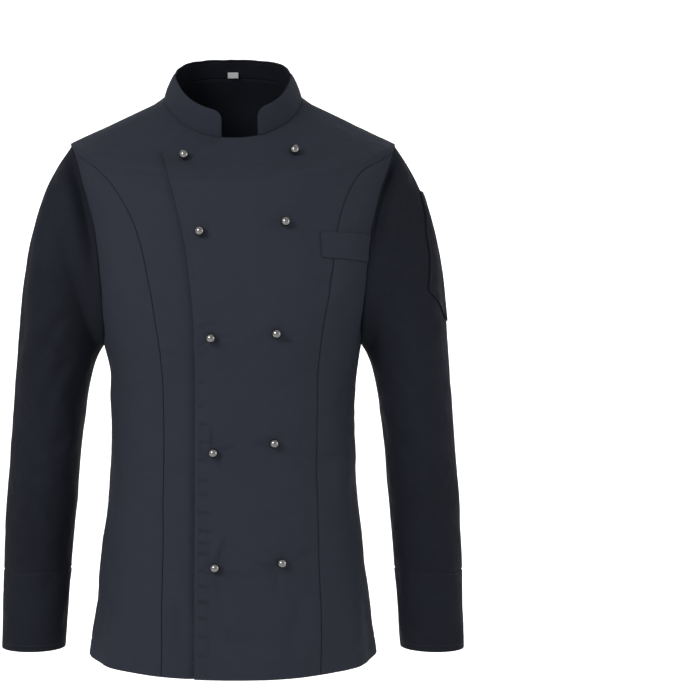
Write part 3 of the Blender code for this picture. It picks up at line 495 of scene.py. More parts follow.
def sleeve_ring(station, step):
    """Points of the plain sleeve rings, step degrees from their outer points."""
    turn = np.radians(step)
    read = {name: form(station) for name, form in SLEEVE_FORM.items()}
    deep = np.where(np.sin(turn) >= 0, read["front"], read["back"])
    half_x = (read["outer_x"] - read["inner_x"]) / 2
    half_z = (read["outer_z"] - read["inner_z"]) / 2
    x = (read["outer_x"] + read["inner_x"]) / 2 + half_x * np.cos(turn)
    y = read["centre"] - deep * np.sin(turn)
    z = (read["outer_z"] + read["inner_z"]) / 2 + half_z * np.cos(turn)
    return np.stack(np.broadcast_arrays(x, y, z), axis=-1)


def sleeve(station, step):
    """Points of the left sleeve form, which starts exactly at the armhole."""
    station, step = np.broadcast_arrays(np.asarray(station, float), np.asarray(step, float))
    angle, height = armhole(step)
    away = torso(angle, height) - sleeve_ring(np.zeros(station.shape), step)
    blend = 1.0 - smooth_step(station / SLEEVE_JOIN)
    return sleeve_ring(station, step) + away * blend[..., None]


def sleeve_normal(station, step):
    """The sleeve form's outward direction."""
    station, step = np.broadcast_arrays(np.asarray(station, float), np.asarray(step, float))
    low = np.maximum(station - 0.02, 0.0)
    high = np.minimum(station + 0.02, CUFF_EDGE)
    round_it = sleeve(station, step + 1.0) - sleeve(station, step - 1.0)
    return unit(np.cross(round_it, sleeve(high, step) - sleeve(low, step)))


# ---------------------------------------------------------------- folds in the cloth
def crease_relief(across, up, table):
    """How far the table's creases push the cloth out at points given by two distances."""
    out = np.zeros(np.shape(across))
    for c in table:
        run_x, run_z = c.x1 - c.x0, c.z1 - c.z0
        length = math.hypot(run_x, run_z)
        along = ((across - c.x0) * run_x + (up - c.z0) * run_z) / length**2
        inside = np.clip(along, 0.0, 1.0)
        off = ((up - c.z0) * run_x - (across - c.x0) * run_z) / length
        off = off - c.bend * 4.0 * inside * (1.0 - inside)
        taper = smooth_step((along + 0.04) / 0.20) * smooth_step((1.06 - along) / 0.62)
        wide = c.wide * between(0.85, 1.35, inside)
        ridge = np.exp(-((off / wide) ** 2))
        shoulder = np.exp(-(((off - 1.7 * wide) / (1.2 * wide)) ** 2))
        shoulder = shoulder + 0.6 * np.exp(-(((off + 1.8 * wide) / (1.3 * wide)) ** 2))
        out = out + taper * (c.out * ridge + c.beside * shoulder)
    return out


def ripples(u, v, seed, count, longest, shortest, deep):
    """Gentle uneven waves over a surface given by two distances."""
    chance = np.random.RandomState(seed)
    out = np.zeros(np.shape(u))
    for _ in range(count):
        wave = shortest * (longest / shortest) ** chance.rand()
        turn = chance.rand() * 2.0 * math.pi
        phase = chance.rand() * 2.0 * math.pi
        along = u * math.cos(turn) + v * math.sin(turn)
        out = out + wave / longest * np.sin(2.0 * math.pi * along / wave + phase)
    return out * deep / math.sqrt(count / 2.0)


def torso_relief(angle, height, point, cloth):
    """How far folds and waves push the torso's cloth out."""
    turned = (angle + 180.0) % WHOLE_TURN - 180.0
    facing = np.cos(np.radians(turned))
    round_it = np.radians(turned) * 0.125
    x, z = point[..., 0], point[..., 2]
    out = crease_relief(x, z, FRONT_CREASES) * smooth_step(facing * 4.0)
    out = out + crease_relief(x, z, BACK_CREASES) * smooth_step(-facing * 4.0)
    seam_free = smooth_step((NECK.height - 0.004 - height) / 0.03)
    wrap = np.minimum(np.abs(turned - 180.0), np.abs(turned + 180.0))
    waves = ripples(round_it, height, 11, 26, 0.110, 0.030, 0.00065)
    small = ripples(round_it, height, 12, 30, 0.022, 0.009, 0.00010)
    out = out + (waves + small) * seam_free * smooth_step(wrap / 14.0 + 0.0)
    return out * cloth.crease_depth


def sleeve_relief(station, step, point, side, cloth):
    """How far folds and waves push a sleeve's cloth out, a little differently on each side."""
    turned = (step + 180.0) % WHOLE_TURN - 180.0
    round_it = np.radians(turned) * 0.060
    z = point[..., 2] + (0.006 if side > 0 else 0.0)
    strength = 0.85 if side > 0 else 1.0
    out = strength * crease_relief(round_it, z, SLEEVE_CREASES)
    angle, height = armhole(step)
    away = np.linalg.norm(point - torso(angle, height), axis=-1)
    front = np.sin(np.radians(turned))
    where = smooth_step((np.abs(front) - 0.15) / 0.5) * smooth_step((70.0 + 50.0 - np.abs(turned)) / 60.0)
    valley = -0.0052 * np.exp(-(((away - 0.0075) / 0.0065) ** 2))
    roll = 0.0040 * np.exp(-(((away - 0.024) / 0.0100) ** 2))
    out = out + (valley + roll) * where
    inward = smooth_step(away / 0.006)
    waves = ripples(round_it, z, 21 if side > 0 else 22, 24, 0.100, 0.030, 0.00060)
    small = ripples(round_it, z, 23 if side > 0 else 24, 30, 0.022, 0.009, 0.00010)
    wrap = smooth_step((180.0 - np.abs(turned)) / 16.0)
    out = out + (waves + small) * wrap
    ends = np.minimum(inward, smooth_step((CUFF_EDGE + 0.001 - station) / 0.10 + 0.3))
    outline = between(0.30, 1.0, smooth_step((np.abs(turned) - 4.0) / 24.0))
    return out * ends * outline * cloth.crease_depth


# ---------------------------------------------------------------- making cloth
def grid_normals(points, closed):
    """The outward directions of a grid of points whose rows run down and columns run round."""
    if closed:
        round_it = np.roll(points, -1, axis=1) - np.roll(points, 1, axis=1)
    else:
        round_it = np.gradient(points, axis=1)
    down = np.gradient(points, axis=0)
    return unit(np.cross(round_it, down))


def away_from_edges(points, closed):
    """For each grid point, its distances from the top, bottom, first and last edges."""
    down = np.linalg.norm(np.diff(points, axis=0), axis=-1)
    from_top = np.concatenate([np.zeros((1, points.shape[1])), np.cumsum(down, axis=0)])
    from_bottom = from_top[-1:] - from_top
    if closed:
        far = np.full(from_top.shape, 1.0)
        return from_top, from_bottom, far, far
    across = np.linalg.norm(np.diff(points, axis=1), axis=-1)
    from_first = np.concatenate([np.zeros((points.shape[0], 1)), np.cumsum(across, axis=1)], axis=1)
    return from_top, from_bottom, from_first, from_first[:, -1:] - from_first


def edge_fall(distance, kind):
    """How far the cloth's face falls near an edge: into a seam, or rounding over a folded edge."""
    if kind == "seam":
        u = np.clip(1.0 - distance / SEAM_REACH, 0.0, 1.0)
        return SEAM_SINK * u * u
    if kind == "edge":
        u = np.clip(1.0 - distance / EDGE_ROUND, 0.0, 1.0)
        return EDGE_ROUND * (1.0 - np.sqrt(np.maximum(1.0 - u * u, 0.0))) * 0.62
    return np.zeros(distance.shape)


def cloth_wall(name, points, edges, wall, closed=False, flip=False, shade=None, free=None):
    """A closed thin wall of cloth on a grid of outer points.

    edges says what the top, bottom, first and last edges are: seam, edge or none. wall is the
    cloth's thickness, one number or one for each point. shade is a further distance for each
    point, counted with its distance from the seams, that sets where painted shade darkens the
    cloth. free says which columns have a free top edge instead of a seam.
    """
    rows, columns = points.shape[:2]
    normals = grid_normals(points, closed) * (-1.0 if flip else 1.0)
    apart = list(away_from_edges(points, closed))
    down = apart[0]
    if free is not None:
        apart[0] = np.where(free[None], 1.0, apart[0])
    fall = np.zeros((rows, columns))
    for distance, kind in zip(apart, edges):
        fall = np.maximum(fall, edge_fall(distance, kind))
    wall = np.broadcast_to(np.asarray(wall, float), (rows, columns))
    outer = points - normals * fall[..., None]
    inner = points - normals * (wall - np.minimum(fall, wall * 0.35))[..., None]
    vertices = np.concatenate([outer.reshape(-1, 3), inner.reshape(-1, 3)])
    index = np.arange(rows * columns).reshape(rows, columns)
    right = np.roll(index, -1, axis=1) if closed else index[:, 1:]
    left = index if closed else index[:, :-1]
    a, b, c, d = left[:-1], left[1:], right[1:], right[:-1]
    quads = np.stack([a, b, c, d], axis=-1).reshape(-1, 4)
    if not flip:
        quads = quads[:, ::-1]
    count = rows * columns
    faces = [quads, quads[:, ::-1] + count]
    rims = [(left[0], right[0]), (right[-1], left[-1])]
    if not closed:
        rims += [(index[1:, 0], index[:-1, 0]), (index[:-1, -1], index[1:, -1])]
    for first, second in rims:
        rim = np.stack([first, second, second + count, first + count], axis=-1)
        faces.append(rim if not flip else rim[:, ::-1])
    faces = np.concatenate(faces)
    made = mesh_object(name, vertices, faces)
    u = apart[2] if not closed else np.cumsum(
        np.linalg.norm(points - np.roll(points, 1, axis=1), axis=-1), axis=1
    )
    uv = np.stack([u, -down], axis=-1).reshape(-1, 2)
    uv = np.concatenate([uv, uv])
    add_uv(made.data, uv, closed)
    # The distance from the seams, met by the shade distance, sets where the cloth gets painted shade.
    for word, kind in (("from_edge", "edge"), ("from_seam", "seam")):
        near = [d for d, k in zip(apart, edges) if k == kind] + [np.full((rows, columns), 1.0)]
        if kind == "seam" and shade is not None:
            near.append(shade)
        nearest = np.minimum.reduce(near).reshape(-1)
        add_attribute(made.data, word, np.concatenate([nearest, nearest]))
    add_attribute(made.data, "inside", np.concatenate([np.zeros(count), np.ones(count)]))
    return made


def mesh_object(name, vertices, faces):
    """An object with a smooth mesh of quads."""
    mesh = bpy.data.meshes.new(name)
    mesh.vertices.add(len(vertices))
    mesh.vertices.foreach_set("co", np.asarray(vertices, np.float32).reshape(-1))
    mesh.loops.add(len(faces) * 4)
    mesh.loops.foreach_set("vertex_index", np.asarray(faces, np.int32).reshape(-1))
    mesh.polygons.add(len(faces))
    mesh.polygons.foreach_set("loop_start", np.arange(0, len(faces) * 4, 4, dtype=np.int32))
    mesh.polygons.foreach_set("use_smooth", np.ones(len(faces), bool))
    mesh.update(calc_edges=True)
    mesh.validate()
    made = bpy.data.objects.new(name, mesh)
    bpy.context.scene.collection.objects.link(made)
    return made


def add_uv(mesh, uv, closed):
    """A UV map in metres, so that weave and stitches keep their real size."""
    layer = mesh.uv_layers.new(name="cloth")
    of_loop = np.zeros(len(mesh.loops), np.int32)
    mesh.loops.foreach_get("vertex_index", of_loop)
    at = uv[of_loop]
    if closed:
        at = at.reshape(-1, 4, 2)
        span = uv[:, 0].max()
        torn = at[..., 0].max(axis=1) - at[..., 0].min(axis=1) > span / 2
        small = at[..., 0] < span / 2
        at[..., 0] += np.where(torn[:, None] & small, span, 0.0)
        at = at.reshape(-1, 2)
    layer.data.foreach_set("uv", np.asarray(at, np.float32).reshape(-1))


def add_attribute(mesh, name, values):
    layer = mesh.attributes.new(name, "FLOAT", "POINT")
    layer.data.foreach_set("value", np.asarray(values, np.float32))


def spread(width, pitch):
    """Fractions across a width, close together near both edges."""
    near = [d / width for d in NEAR_EDGE if d < width * 0.2]
    count = max(int(round((width - 2 * NEAR_EDGE[-1]) / pitch)), 2)
    middle = np.linspace(near[-1], 1.0 - near[-1], count + 1)[1:-1]
    return np.concatenate([near, middle, 1.0 - np.array(near)[::-1]])


def finish_piece(piece, slot, nodes, *materials):
    """Gives a piece its materials and body, and hides the CAD nodes that it stands for. The slot is not used.
    """
    for material in materials:
        piece.data.materials.append(material)
    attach(piece, "root")
    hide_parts(*nodes)
    return piece


# ---------------------------------------------------------------- rows of the torso panels
def ring_rows():
    """The ring heights that the torso panels are read at, from the neck to the hem."""
    near = np.array([0.0, 0.0005, 0.0012, 0.0022])
    slope = (NECK.height - TIP.height) / math.hypot(NECK.height - TIP.height, 0.11)
    top = np.linspace(NECK.height - 0.0034 * slope, TIP.height, SHOULDER_ROWS)[:-1]
    top = np.concatenate([NECK.height - near * slope, top])
    steps = np.linspace(0.0, 180.0, ARMHOLE_ROWS)
    steps = np.sort(np.append(steps, PRINCESS_STEP))
    middle = ARMHOLE_MIDDLE + ARMHOLE_HALF * np.cos(np.radians(steps))
    low = np.linspace(UNDERARM.height, HEM.height + 0.0030, LOWER_ROWS)[1:]
    foot = HEM.height + np.array(NEAR_EDGE)[-2::-1]
    return np.concatenate([top, middle, low, foot])


ROWS = ring_rows()


def outer_angles(heights, princess, side):
    """Where a centre front ends: at the shoulder seam, then the armhole, then the princess seam."""
    step = armhole_step(heights)
    on_armhole = armhole(np.minimum(step, PRINCESS_STEP))[0] * side
    seam = angle_of_line(heights, LINES[princess])
    begin = armhole(PRINCESS_STEP)[1]
    join = armhole(PRINCESS_STEP)[0] * side - angle_of_line(np.array(begin), LINES[princess])
    settle = np.clip(1.0 - (begin - heights) / SEAM_SETTLE, 0.0, 1.0) ** 2
    return np.where(heights >= begin - 1e-9, on_armhole, seam + join * settle)


def side_angles(heights, side, back=False):
    """Where the side of a panel ends: at the armhole, then the side seam."""
    step = armhole_step(heights)
    return armhole(-step if back else step)[0] * side


def lap_lift(points):
    """How far the front that laps over is lifted to clear the one under it."""
    past = LINES["under_edge"](points[..., 2]) + LAP_CLEAR + LAP_RAMP - points[..., 0]
    return LAP_LIFT * smooth_step(past / LAP_RAMP)


def front_grid(princess, side, free_edge, corner, collar_end, shares, rows):
    """Angles and ring heights of a centre front, from its outer seam to its free edge.

    Past the collar's end the top rows run straight to the corner of the free edge, and lower rows
    even out towards plain rings.
    """
    fall = ring_at(*corner)[1] - NECK.height
    settle = np.clip((rows - LAP_SAG_END) / (NECK.height - LAP_SAG_END), 0.0, 1.0)
    sag = fall * settle**1.15
    first = outer_angles(rows, princess, side)
    at_top = rows >= NECK.height - 1e-9
    edge_x = LINES[free_edge](np.where(at_top, corner[1], torso(0.0 * rows, rows + sag)[..., 2]))
    last = np.array([
        angle_of_line(np.array(h), lambda _z, x=x: np.full(np.shape(_z), x))
        for h, x in zip(rows + sag, edge_x)
    ])
    last = np.where(at_top, last, angle_of_line(rows + sag, LINES[free_edge]))
    dense = np.linspace(0.0, 1.0, 161)
    angle = between(first[:, None], last[:, None], dense[None])
    height = np.repeat(rows[:, None], len(dense), axis=1)
    for _ in range(12):
        past = (collar_end - torso(angle, height)[..., 0]) / (collar_end - edge_x[:, None])
        height = rows[:, None] + sag[:, None] * np.clip(past, 0.0, 1.0)
    spots = torso(angle, height)
    run = np.concatenate(
        [np.zeros((len(rows), 1)), np.cumsum(np.linalg.norm(np.diff(spots, axis=1), axis=-1), axis=1)],
        axis=1,
    )
    found_angle = np.empty((len(rows), len(shares)))
    found_height = np.empty_like(found_angle)
    for j in range(len(rows)):
        target = shares * run[j, -1]
        found_angle[j] = np.interp(target, run[j], angle[j])
        found_height[j] = np.interp(target, run[j], height[j])
    return found_angle, found_height


def torso_cloth(angle, height, cloth, lift=None):
    """Points of a torso panel with its folds."""
    plain = torso(angle, height)
    normal = torso_normal(angle, height)
    if lift is not None:
        plain = torso(angle, height, lift)
    return plain + normal * torso_relief(angle, height, plain, cloth)[..., None]


def lap_details(points, cloth):
    """How far the puckers beside the lap's edge push the cloth in and out."""
    x, z = points[..., 0], points[..., 2]
    into = x - LINES["lap_edge"](z)
    out = np.zeros(x.shape)
    for p in PUCKERS:
        reach = p.reach * PUCKER_REACH
        near = smooth_step((into - p.start) / 0.003)
        near = near * smooth_step((p.start + reach - into) / (reach * 0.7))
        rise = z - p.height + 0.10 * into
        crest = (rise - 2.4 * p.half) / (1.3 * p.half)
        out = out - PUCKER_DIP * p.deep * near * np.exp(-((rise / p.half) ** 2))
        out = out + PUCKER_CREST * p.deep * near * np.exp(-(crest ** 2))
    return out * cloth.pucker_depth


def groove(distance, deep=HEM_GROOVE):
    """The shallow channel that a row of stitches pulls into the cloth."""
    return -deep * np.exp(-((distance / GROOVE_REACH) ** 2))


def hem_groove(height):
    """The groove along the hem's stitching."""
    return groove(height - HEM.height - HEM_DEPTH)


# ---------------------------------------------------------------- the torso's pieces
def build_back(cloth, materials):
    """The back, in one piece from side seam to side seam and shoulder to shoulder."""
    rows = np.concatenate([ROWS[:4], ROWS[4:-4:BACK_ROWS_STRIDE], ROWS[-4:]])
    first = side_angles(rows, 1.0, back=True)
    shares = spread(0.42, 0.0031)
    angle = between(first[:, None], (WHOLE_TURN - first)[:, None], shares[None])
    height = np.repeat(rows[:, None], len(shares), axis=1)
    points = torso_cloth(angle, height, cloth)
    points = points + torso_normal(angle, height) * hem_groove(height)[..., None]
    piece = cloth_wall("back_cloth", points, ("seam", "edge", "seam", "seam"), cloth.wall)
    finish_piece(piece, "navy_twill", ["back"], *materials)


def build_centre_front(name, node, laps, cloth, materials):
    """A centre front, from its princess seam past the centre to its free edge."""
    if laps:
        shares = spread(0.17, 0.0021)
        angle, height = front_grid(
            "princess_left", 1.0, "lap_edge", LAP_CORNER_RIGHT, COLLAR_END_RIGHT, shares, ROWS
        )
        lift = lap_lift(torso(angle, height))
        near_top = smooth_step(away_from_edges(torso(angle, height), False)[0] / 0.018)
        free = (height[0] < NECK.height - 0.0002)[None]
        lift = lift * np.where(free, between(0.32, 1.0, near_top), 1.0)
    else:
        rows = np.concatenate([ROWS[:4], ROWS[4:-4:2], ROWS[-4:]])
        shares = spread(0.17, 0.0013)
        angle, height = front_grid(
            "princess_right", -1.0, "under_edge", LAP_CORNER_LEFT, COLLAR_END_LEFT, shares, rows
        )
        lift = np.zeros(angle.shape)
    points = torso_cloth(angle, height, cloth, lift)
    sink = hem_groove(height)
    off = points[..., 0] - LINES["lap_edge"](points[..., 2])
    if laps:
        # Painted shade along the lap's own free edge.
        shade = away_from_edges(points, False)[3] * EDGE_SHADE_FADE - EDGE_SHADE_DEEP
        sink = sink + lap_details(points, cloth)
        sink = sink + groove(off - LAP_STITCH_IN)
    else:
        widened = smooth_step((GAP_WIDENS_FROM - points[..., 2]) / GAP_WIDENS_OVER)
        below = smooth_step((LAP_CORNER_RIGHT[1] - points[..., 2]) / LAP_CORNER_FADE)
        deep = between(LAP_GAP_TOP, LAP_GAP_HEM, widened)
        sink = sink - deep * below * np.exp(-((off / LAP_GAP_REACH) ** 2))
        # Painted shade on the front under the lap, in a band beside the lap's edge below its corner.
        wide = between(SHADE_WIDE_TOP, SHADE_WIDE_HEM, widened)
        shade = np.where(off < 0.0, np.maximum(-off - wide, 0.0) * SHADE_FADE, 0.0) - SHADE_DEEP
        shade = np.where(below > 0.5, shade, 1.0)
    points = points + torso_normal(angle, height) * sink[..., None]
    free = height[0] < NECK.height - 0.0002
    from_top = away_from_edges(points, False)[0]
    thin = between(0.45, 1.0, smooth_step(from_top / 0.010))
    wall = cloth.wall * np.where(free[None], thin, 1.0)
    kinds = ("seam", "edge", "seam", "edge")
    piece = cloth_wall(name, points, kinds, wall, flip=laps, shade=shade, free=free)
    finish_piece(piece, "navy_twill", [node], *materials)
    return piece


def build_side_front(name, node, princess, side, cloth, materials):
    """A side front: a point at the armhole, widening to the underarm, then down to the hem."""
    begin = armhole(PRINCESS_STEP)[1]
    rows = ROWS[ROWS <= begin + 1e-9]
    rows = np.concatenate([rows[:-4:2], rows[-4:]])
    rows[0] = rows[0] - 0.0002
    first = outer_angles(rows, princess, side)
    last = side_angles(rows, side)
    shares = spread(0.085, 0.0030)
    angle = between(first[:, None], last[:, None], shares[None])
    height = np.repeat(rows[:, None], len(shares), axis=1)
    points = torso_cloth(angle, height, cloth)
    points = points + torso_normal(angle, height) * hem_groove(height)[..., None]
    kinds = ("none", "edge", "seam", "seam")
    piece = cloth_wall(name, points, kinds, cloth.wall, flip=side < 0)
    finish_piece(piece, "navy_twill", [node], *materials)


# ---------------------------------------------------------------- sleeves and cuffs
def sleeve_grid(stations, columns, side, cloth):
    """Points of a sleeve with its folds, its columns running round it from the outermost line."""
    step = np.arange(columns) * WHOLE_TURN / columns
    step = (step + 180.0) % WHOLE_TURN - 180.0
    station = np.repeat(stations[:, None], columns, axis=1)
    step = np.repeat(step[None], len(stations), axis=0)
    plain = sleeve(station, step)
    points = plain + sleeve_normal(station, step) * (
        sleeve_relief(station, step, plain, side, cloth)[..., None]
    )
    return points * np.array([side, 1.0, 1.0])


def build_sleeve(word, side, cloth, materials):
    """A one-piece set-in sleeve from its armhole to the cuff's seam."""
    near = np.array([0.0, 0.012, 0.03, 0.055, 0.09])
    stations = np.concatenate([near, np.linspace(0.13, CUFF_SEAM - 0.05, 176), [CUFF_SEAM - 0.02, CUFF_SEAM]])
    points = sleeve_grid(stations, SLEEVE_COLUMNS, side, cloth)
    kinds = ("seam", "seam", "none", "none")
    piece = cloth_wall(f"sleeve_{word}_cloth", points, kinds, cloth.wall, closed=True, flip=side < 0)
    finish_piece(piece, "navy_twill", [f"sleeve_{word}"], *materials)


def build_cuff(word, side, cloth, materials):
    """A deep straight cuff, folded at its open edge."""
    stations = np.concatenate([
        [CUFF_SEAM, CUFF_SEAM + 0.006, CUFF_SEAM + 0.015],
        np.linspace(CUFF_SEAM + 0.03, CUFF_EDGE - 0.03, 40),
        [CUFF_EDGE - 0.016, CUFF_EDGE - 0.008, CUFF_EDGE - 0.003, CUFF_EDGE],
    ])
    points = sleeve_grid(stations, SLEEVE_COLUMNS, side, cloth)
    kinds = ("seam", "edge", "none", "none")
    piece = cloth_wall(f"cuff_{word}_cloth", points, kinds, cloth.wall * 1.2, closed=True, flip=side < 0)
    finish_piece(piece, "navy_twill", [f"cuff_{word}"], *materials)


# ---------------------------------------------------------------- collar
NECK_TILT = math.radians(COLLAR_TILT)
NECK_UP = np.array([0.0, -math.sin(NECK_TILT), math.cos(NECK_TILT)])


def neck_point(angle):
    """The neck seam: on the front that laps over at the wearer's left, on the plain form elsewhere."""
    plain = torso(angle, np.full(np.shape(angle), NECK.height))
    lift = np.where(angle < 90.0, lap_lift(plain), 0.0)
    return torso(angle, np.full(np.shape(angle), NECK.height), lift)


def collar_point(angle, share):
    """Points of the collar's outer face, share of the way up from the neck seam."""
    turned = np.abs((angle + 180.0) % WHOLE_TURN - 180.0)
    narrowed = smooth_step((turned - COLLAR_NARROWS_FROM) / COLLAR_NARROWS_OVER)
    tall = between(COLLAR_FRONT, COLLAR_BACK, narrowed)
    sine = np.sin(np.radians(angle))
    cosine = np.cos(np.radians(angle))
    radial = np.stack([sine, -cosine * math.cos(NECK_TILT), -cosine * math.sin(NECK_TILT)], axis=-1)
    lean = between(COLLAR_LEAN_FRONT, COLLAR_LEAN_SIDE, sine * sine)
    leaning = lean * share * between(COLLAR_LEAN_START, 1.0, share)
    return neck_point(angle) + NECK_UP * (tall * share)[..., None] - radial * leaning[..., None]


def collar_span():
    left = float(angle_of_line(np.array(NECK.height), lambda z: np.full(np.shape(z), COLLAR_END_LEFT)))
    right = float(angle_of_line(np.array(NECK.height), lambda z: np.full(np.shape(z), COLLAR_END_RIGHT)))
    return left, WHOLE_TURN + right


def build_collar(cloth, materials):
    """The stand collar in one piece, from one rounded corner round the back to the other."""
    first, last = collar_span()
    dense = np.linspace(first, last, 2001)
    bases = neck_point(dense)
    run = np.concatenate([[0.0], np.cumsum(np.linalg.norm(np.diff(bases, axis=0), axis=-1))])
    near = np.array([0.0, 0.0003, 0.0008, 0.0015, 0.0025, 0.0038, 0.0053, 0.0070, 0.0090, 0.0112])
    middle = np.linspace(near[-1], run[-1] - near[-1], 150)[1:-1]
    at = np.concatenate([near, middle, run[-1] - near[::-1]])
    angle = np.interp(at, run, dense)
    close = np.minimum(at, run[-1] - at)
    short = np.maximum(COLLAR_CORNER - close, 0.0)
    top = 1.0 - (COLLAR_CORNER - np.sqrt(COLLAR_CORNER**2 - short**2)) / COLLAR_FRONT
    down = 1.0 - spread(0.033, 0.0022)
    share = down[:, None] * top[None]
    angle = np.repeat(angle[None], len(down), axis=0)
    points = collar_point(angle, share)
    normals = grid_normals(points, False)
    along = np.repeat(at[None], len(down), axis=0)
    soft = ripples(along, share * 0.03, 31, 16, 0.060, 0.020, 0.00030) * share
    behind = smooth_step((np.abs(angle - WHOLE_TURN / 2) - 100.0) / -40.0)
    soft = soft + ripples(along, share * 0.03, 32, 14, 0.034, 0.014, 0.00075) * share * behind
    from_end = np.minimum(along, run[-1] - along)
    from_top = (top[None] - share) * COLLAR_FRONT
    stitched = groove(np.minimum(from_top, from_end) - 0.0045, 0.00025)
    points = points + normals * (soft + stitched)[..., None]
    kinds = ("edge", "seam", "edge", "edge")
    piece = cloth_wall("stand_collar_cloth", points, kinds, cloth.wall * 1.7)
    finish_piece(piece, "navy_twill_double", ["stand_collar"], *materials)


# ---------------------------------------------------------------- pockets and label
def build_welt(cloth, materials):
    """The chest pocket's welt, lying on the wearer's left front from near the lap to the armhole."""
    across = spread(WELT_WIDE, 0.0016)
    down = spread(WELT_DEPTH, 0.0016)
    share = np.repeat(across[None], len(down), axis=0)
    drop = np.repeat(down[:, None], len(across), axis=1) * WELT_DEPTH
    start, height = ring_at(WELT_START, WELT_TOP - WELT_FALL * share - drop)
    last = armhole(armhole_step(height))[0] - WELT_CLEAR
    angle = between(start, last, share)
    points = torso_cloth(angle, height, cloth, np.full(angle.shape, WELT_LIFT))
    gape = WELT_GAPE * np.sin(math.pi * share) * smooth_step(1.0 - drop / 0.010)
    sides = [share * WELT_WIDE, (1.0 - share) * WELT_WIDE]
    edge = np.minimum.reduce([drop, WELT_DEPTH - drop] + sides)
    points = points + torso_normal(angle, height) * (gape + groove(edge - 0.0022, 0.00022))[..., None]
    piece = cloth_wall("chest_pocket_welt_cloth", points, ("edge",) * 4, 0.0012, flip=False)
    finish_piece(piece, "navy_twill", ["chest_pocket_welt"], *materials)


def pen_track(share, fall):
    """Steps and stations on the left sleeve form for places across and down the pen pocket."""
    pointed = 1.0 - np.abs(2.0 * share - 1.0)
    bottom = between(PEN_POCKET_SIDE, PEN_POCKET_POINT, pointed)
    step = between(PEN_FRONT_TOP, PEN_FRONT_BOTTOM, fall) - PEN_TURN * share
    target = between(PEN_POCKET_TOP, bottom, fall)
    low = np.zeros(step.shape)
    high = np.full(step.shape, CUFF_EDGE)
    for _ in range(SOLVE_ROUNDS):
        middle = (low + high) / 2
        above = sleeve(middle, step)[..., 2] > target
        low = np.where(above, middle, low)
        high = np.where(above, high, middle)
    return step, low


def build_pen_pocket(cloth, materials):
    """The pen pocket on the outside of the wearer's left sleeve, with a pointed bottom."""
    across = spread(PEN_WIDE, 0.0024)
    down = spread(PEN_DEEP, 0.0024)
    share = np.repeat(across[None], len(down), axis=0)
    fall = np.repeat(down[:, None], len(across), axis=1)
    step, station = pen_track(share, fall)
    plain = sleeve(station, step)
    normal = sleeve_normal(station, step)
    relief = sleeve_relief(station, step, plain, 1.0, cloth)
    sides = [share * PEN_WIDE, (1.0 - share) * PEN_WIDE]
    edge = np.minimum.reduce([fall * PEN_DEEP, (1.0 - fall) * PEN_DEEP] + sides)
    gape = PEN_GAPE * np.sin(math.pi * share) * smooth_step(1.0 - fall / PEN_MOUTH)
    lift = 0.0020 + relief + gape + groove(edge - 0.0022, 0.00022)
    points = plain + normal * lift[..., None]
    piece = cloth_wall("sleeve_pen_pocket_cloth", points, ("edge",) * 4, 0.0012, flip=True)
    finish_piece(piece, "navy_twill", ["sleeve_pen_pocket"], *materials)


def build_label(tape):
    """A small blank folded label, sewn inside the collar at the back of the neck."""
    across = spread(LABEL_WIDTH, 0.0009)
    down = spread(0.0095, 0.0009)
    share = between(LABEL_TOP, LABEL_FOOT, np.repeat(down[:, None], len(across), axis=1))
    side = np.repeat(across[None], len(down), axis=0)
    angle = np.full(side.shape, 180.0)
    inside = collar_point(angle, share)
    away = np.array([0.0, -1.0, 0.0])
    curl = 0.0006 * (2.0 * side - 1.0) ** 2 + 0.0007 * smooth_step(down[:, None])
    points = inside + away * (0.0042 + curl)[..., None]
    points[..., 0] = LABEL_WIDTH * (side - 0.5)
    piece = cloth_wall("size_label_tape", points, ("edge",) * 4, 0.0008, flip=True)
    finish_piece(piece, "white_label_tape", ["size_label"], tape)


# ---------------------------------------------------------------- studs
def stud_places():
    """Name, x and z of each stud."""
    for row in STUDS:
        yield f"right_{row.row}", row.right_x, row.height
        yield f"left_{row.row}", row.left_x, row.left_height


def stud_frame(x, z, cloth):
    """The cloth's point and outward direction under a stud."""
    angle, height = ring_at(x, z)
    lift = lap_lift(torso(angle, height))
    base = torso(angle, height, lift)
    normal = torso_normal(angle, height)
    base = base + normal * torso_relief(angle, height, base, cloth)[..., None]
    return Vector(base), Vector(normal)


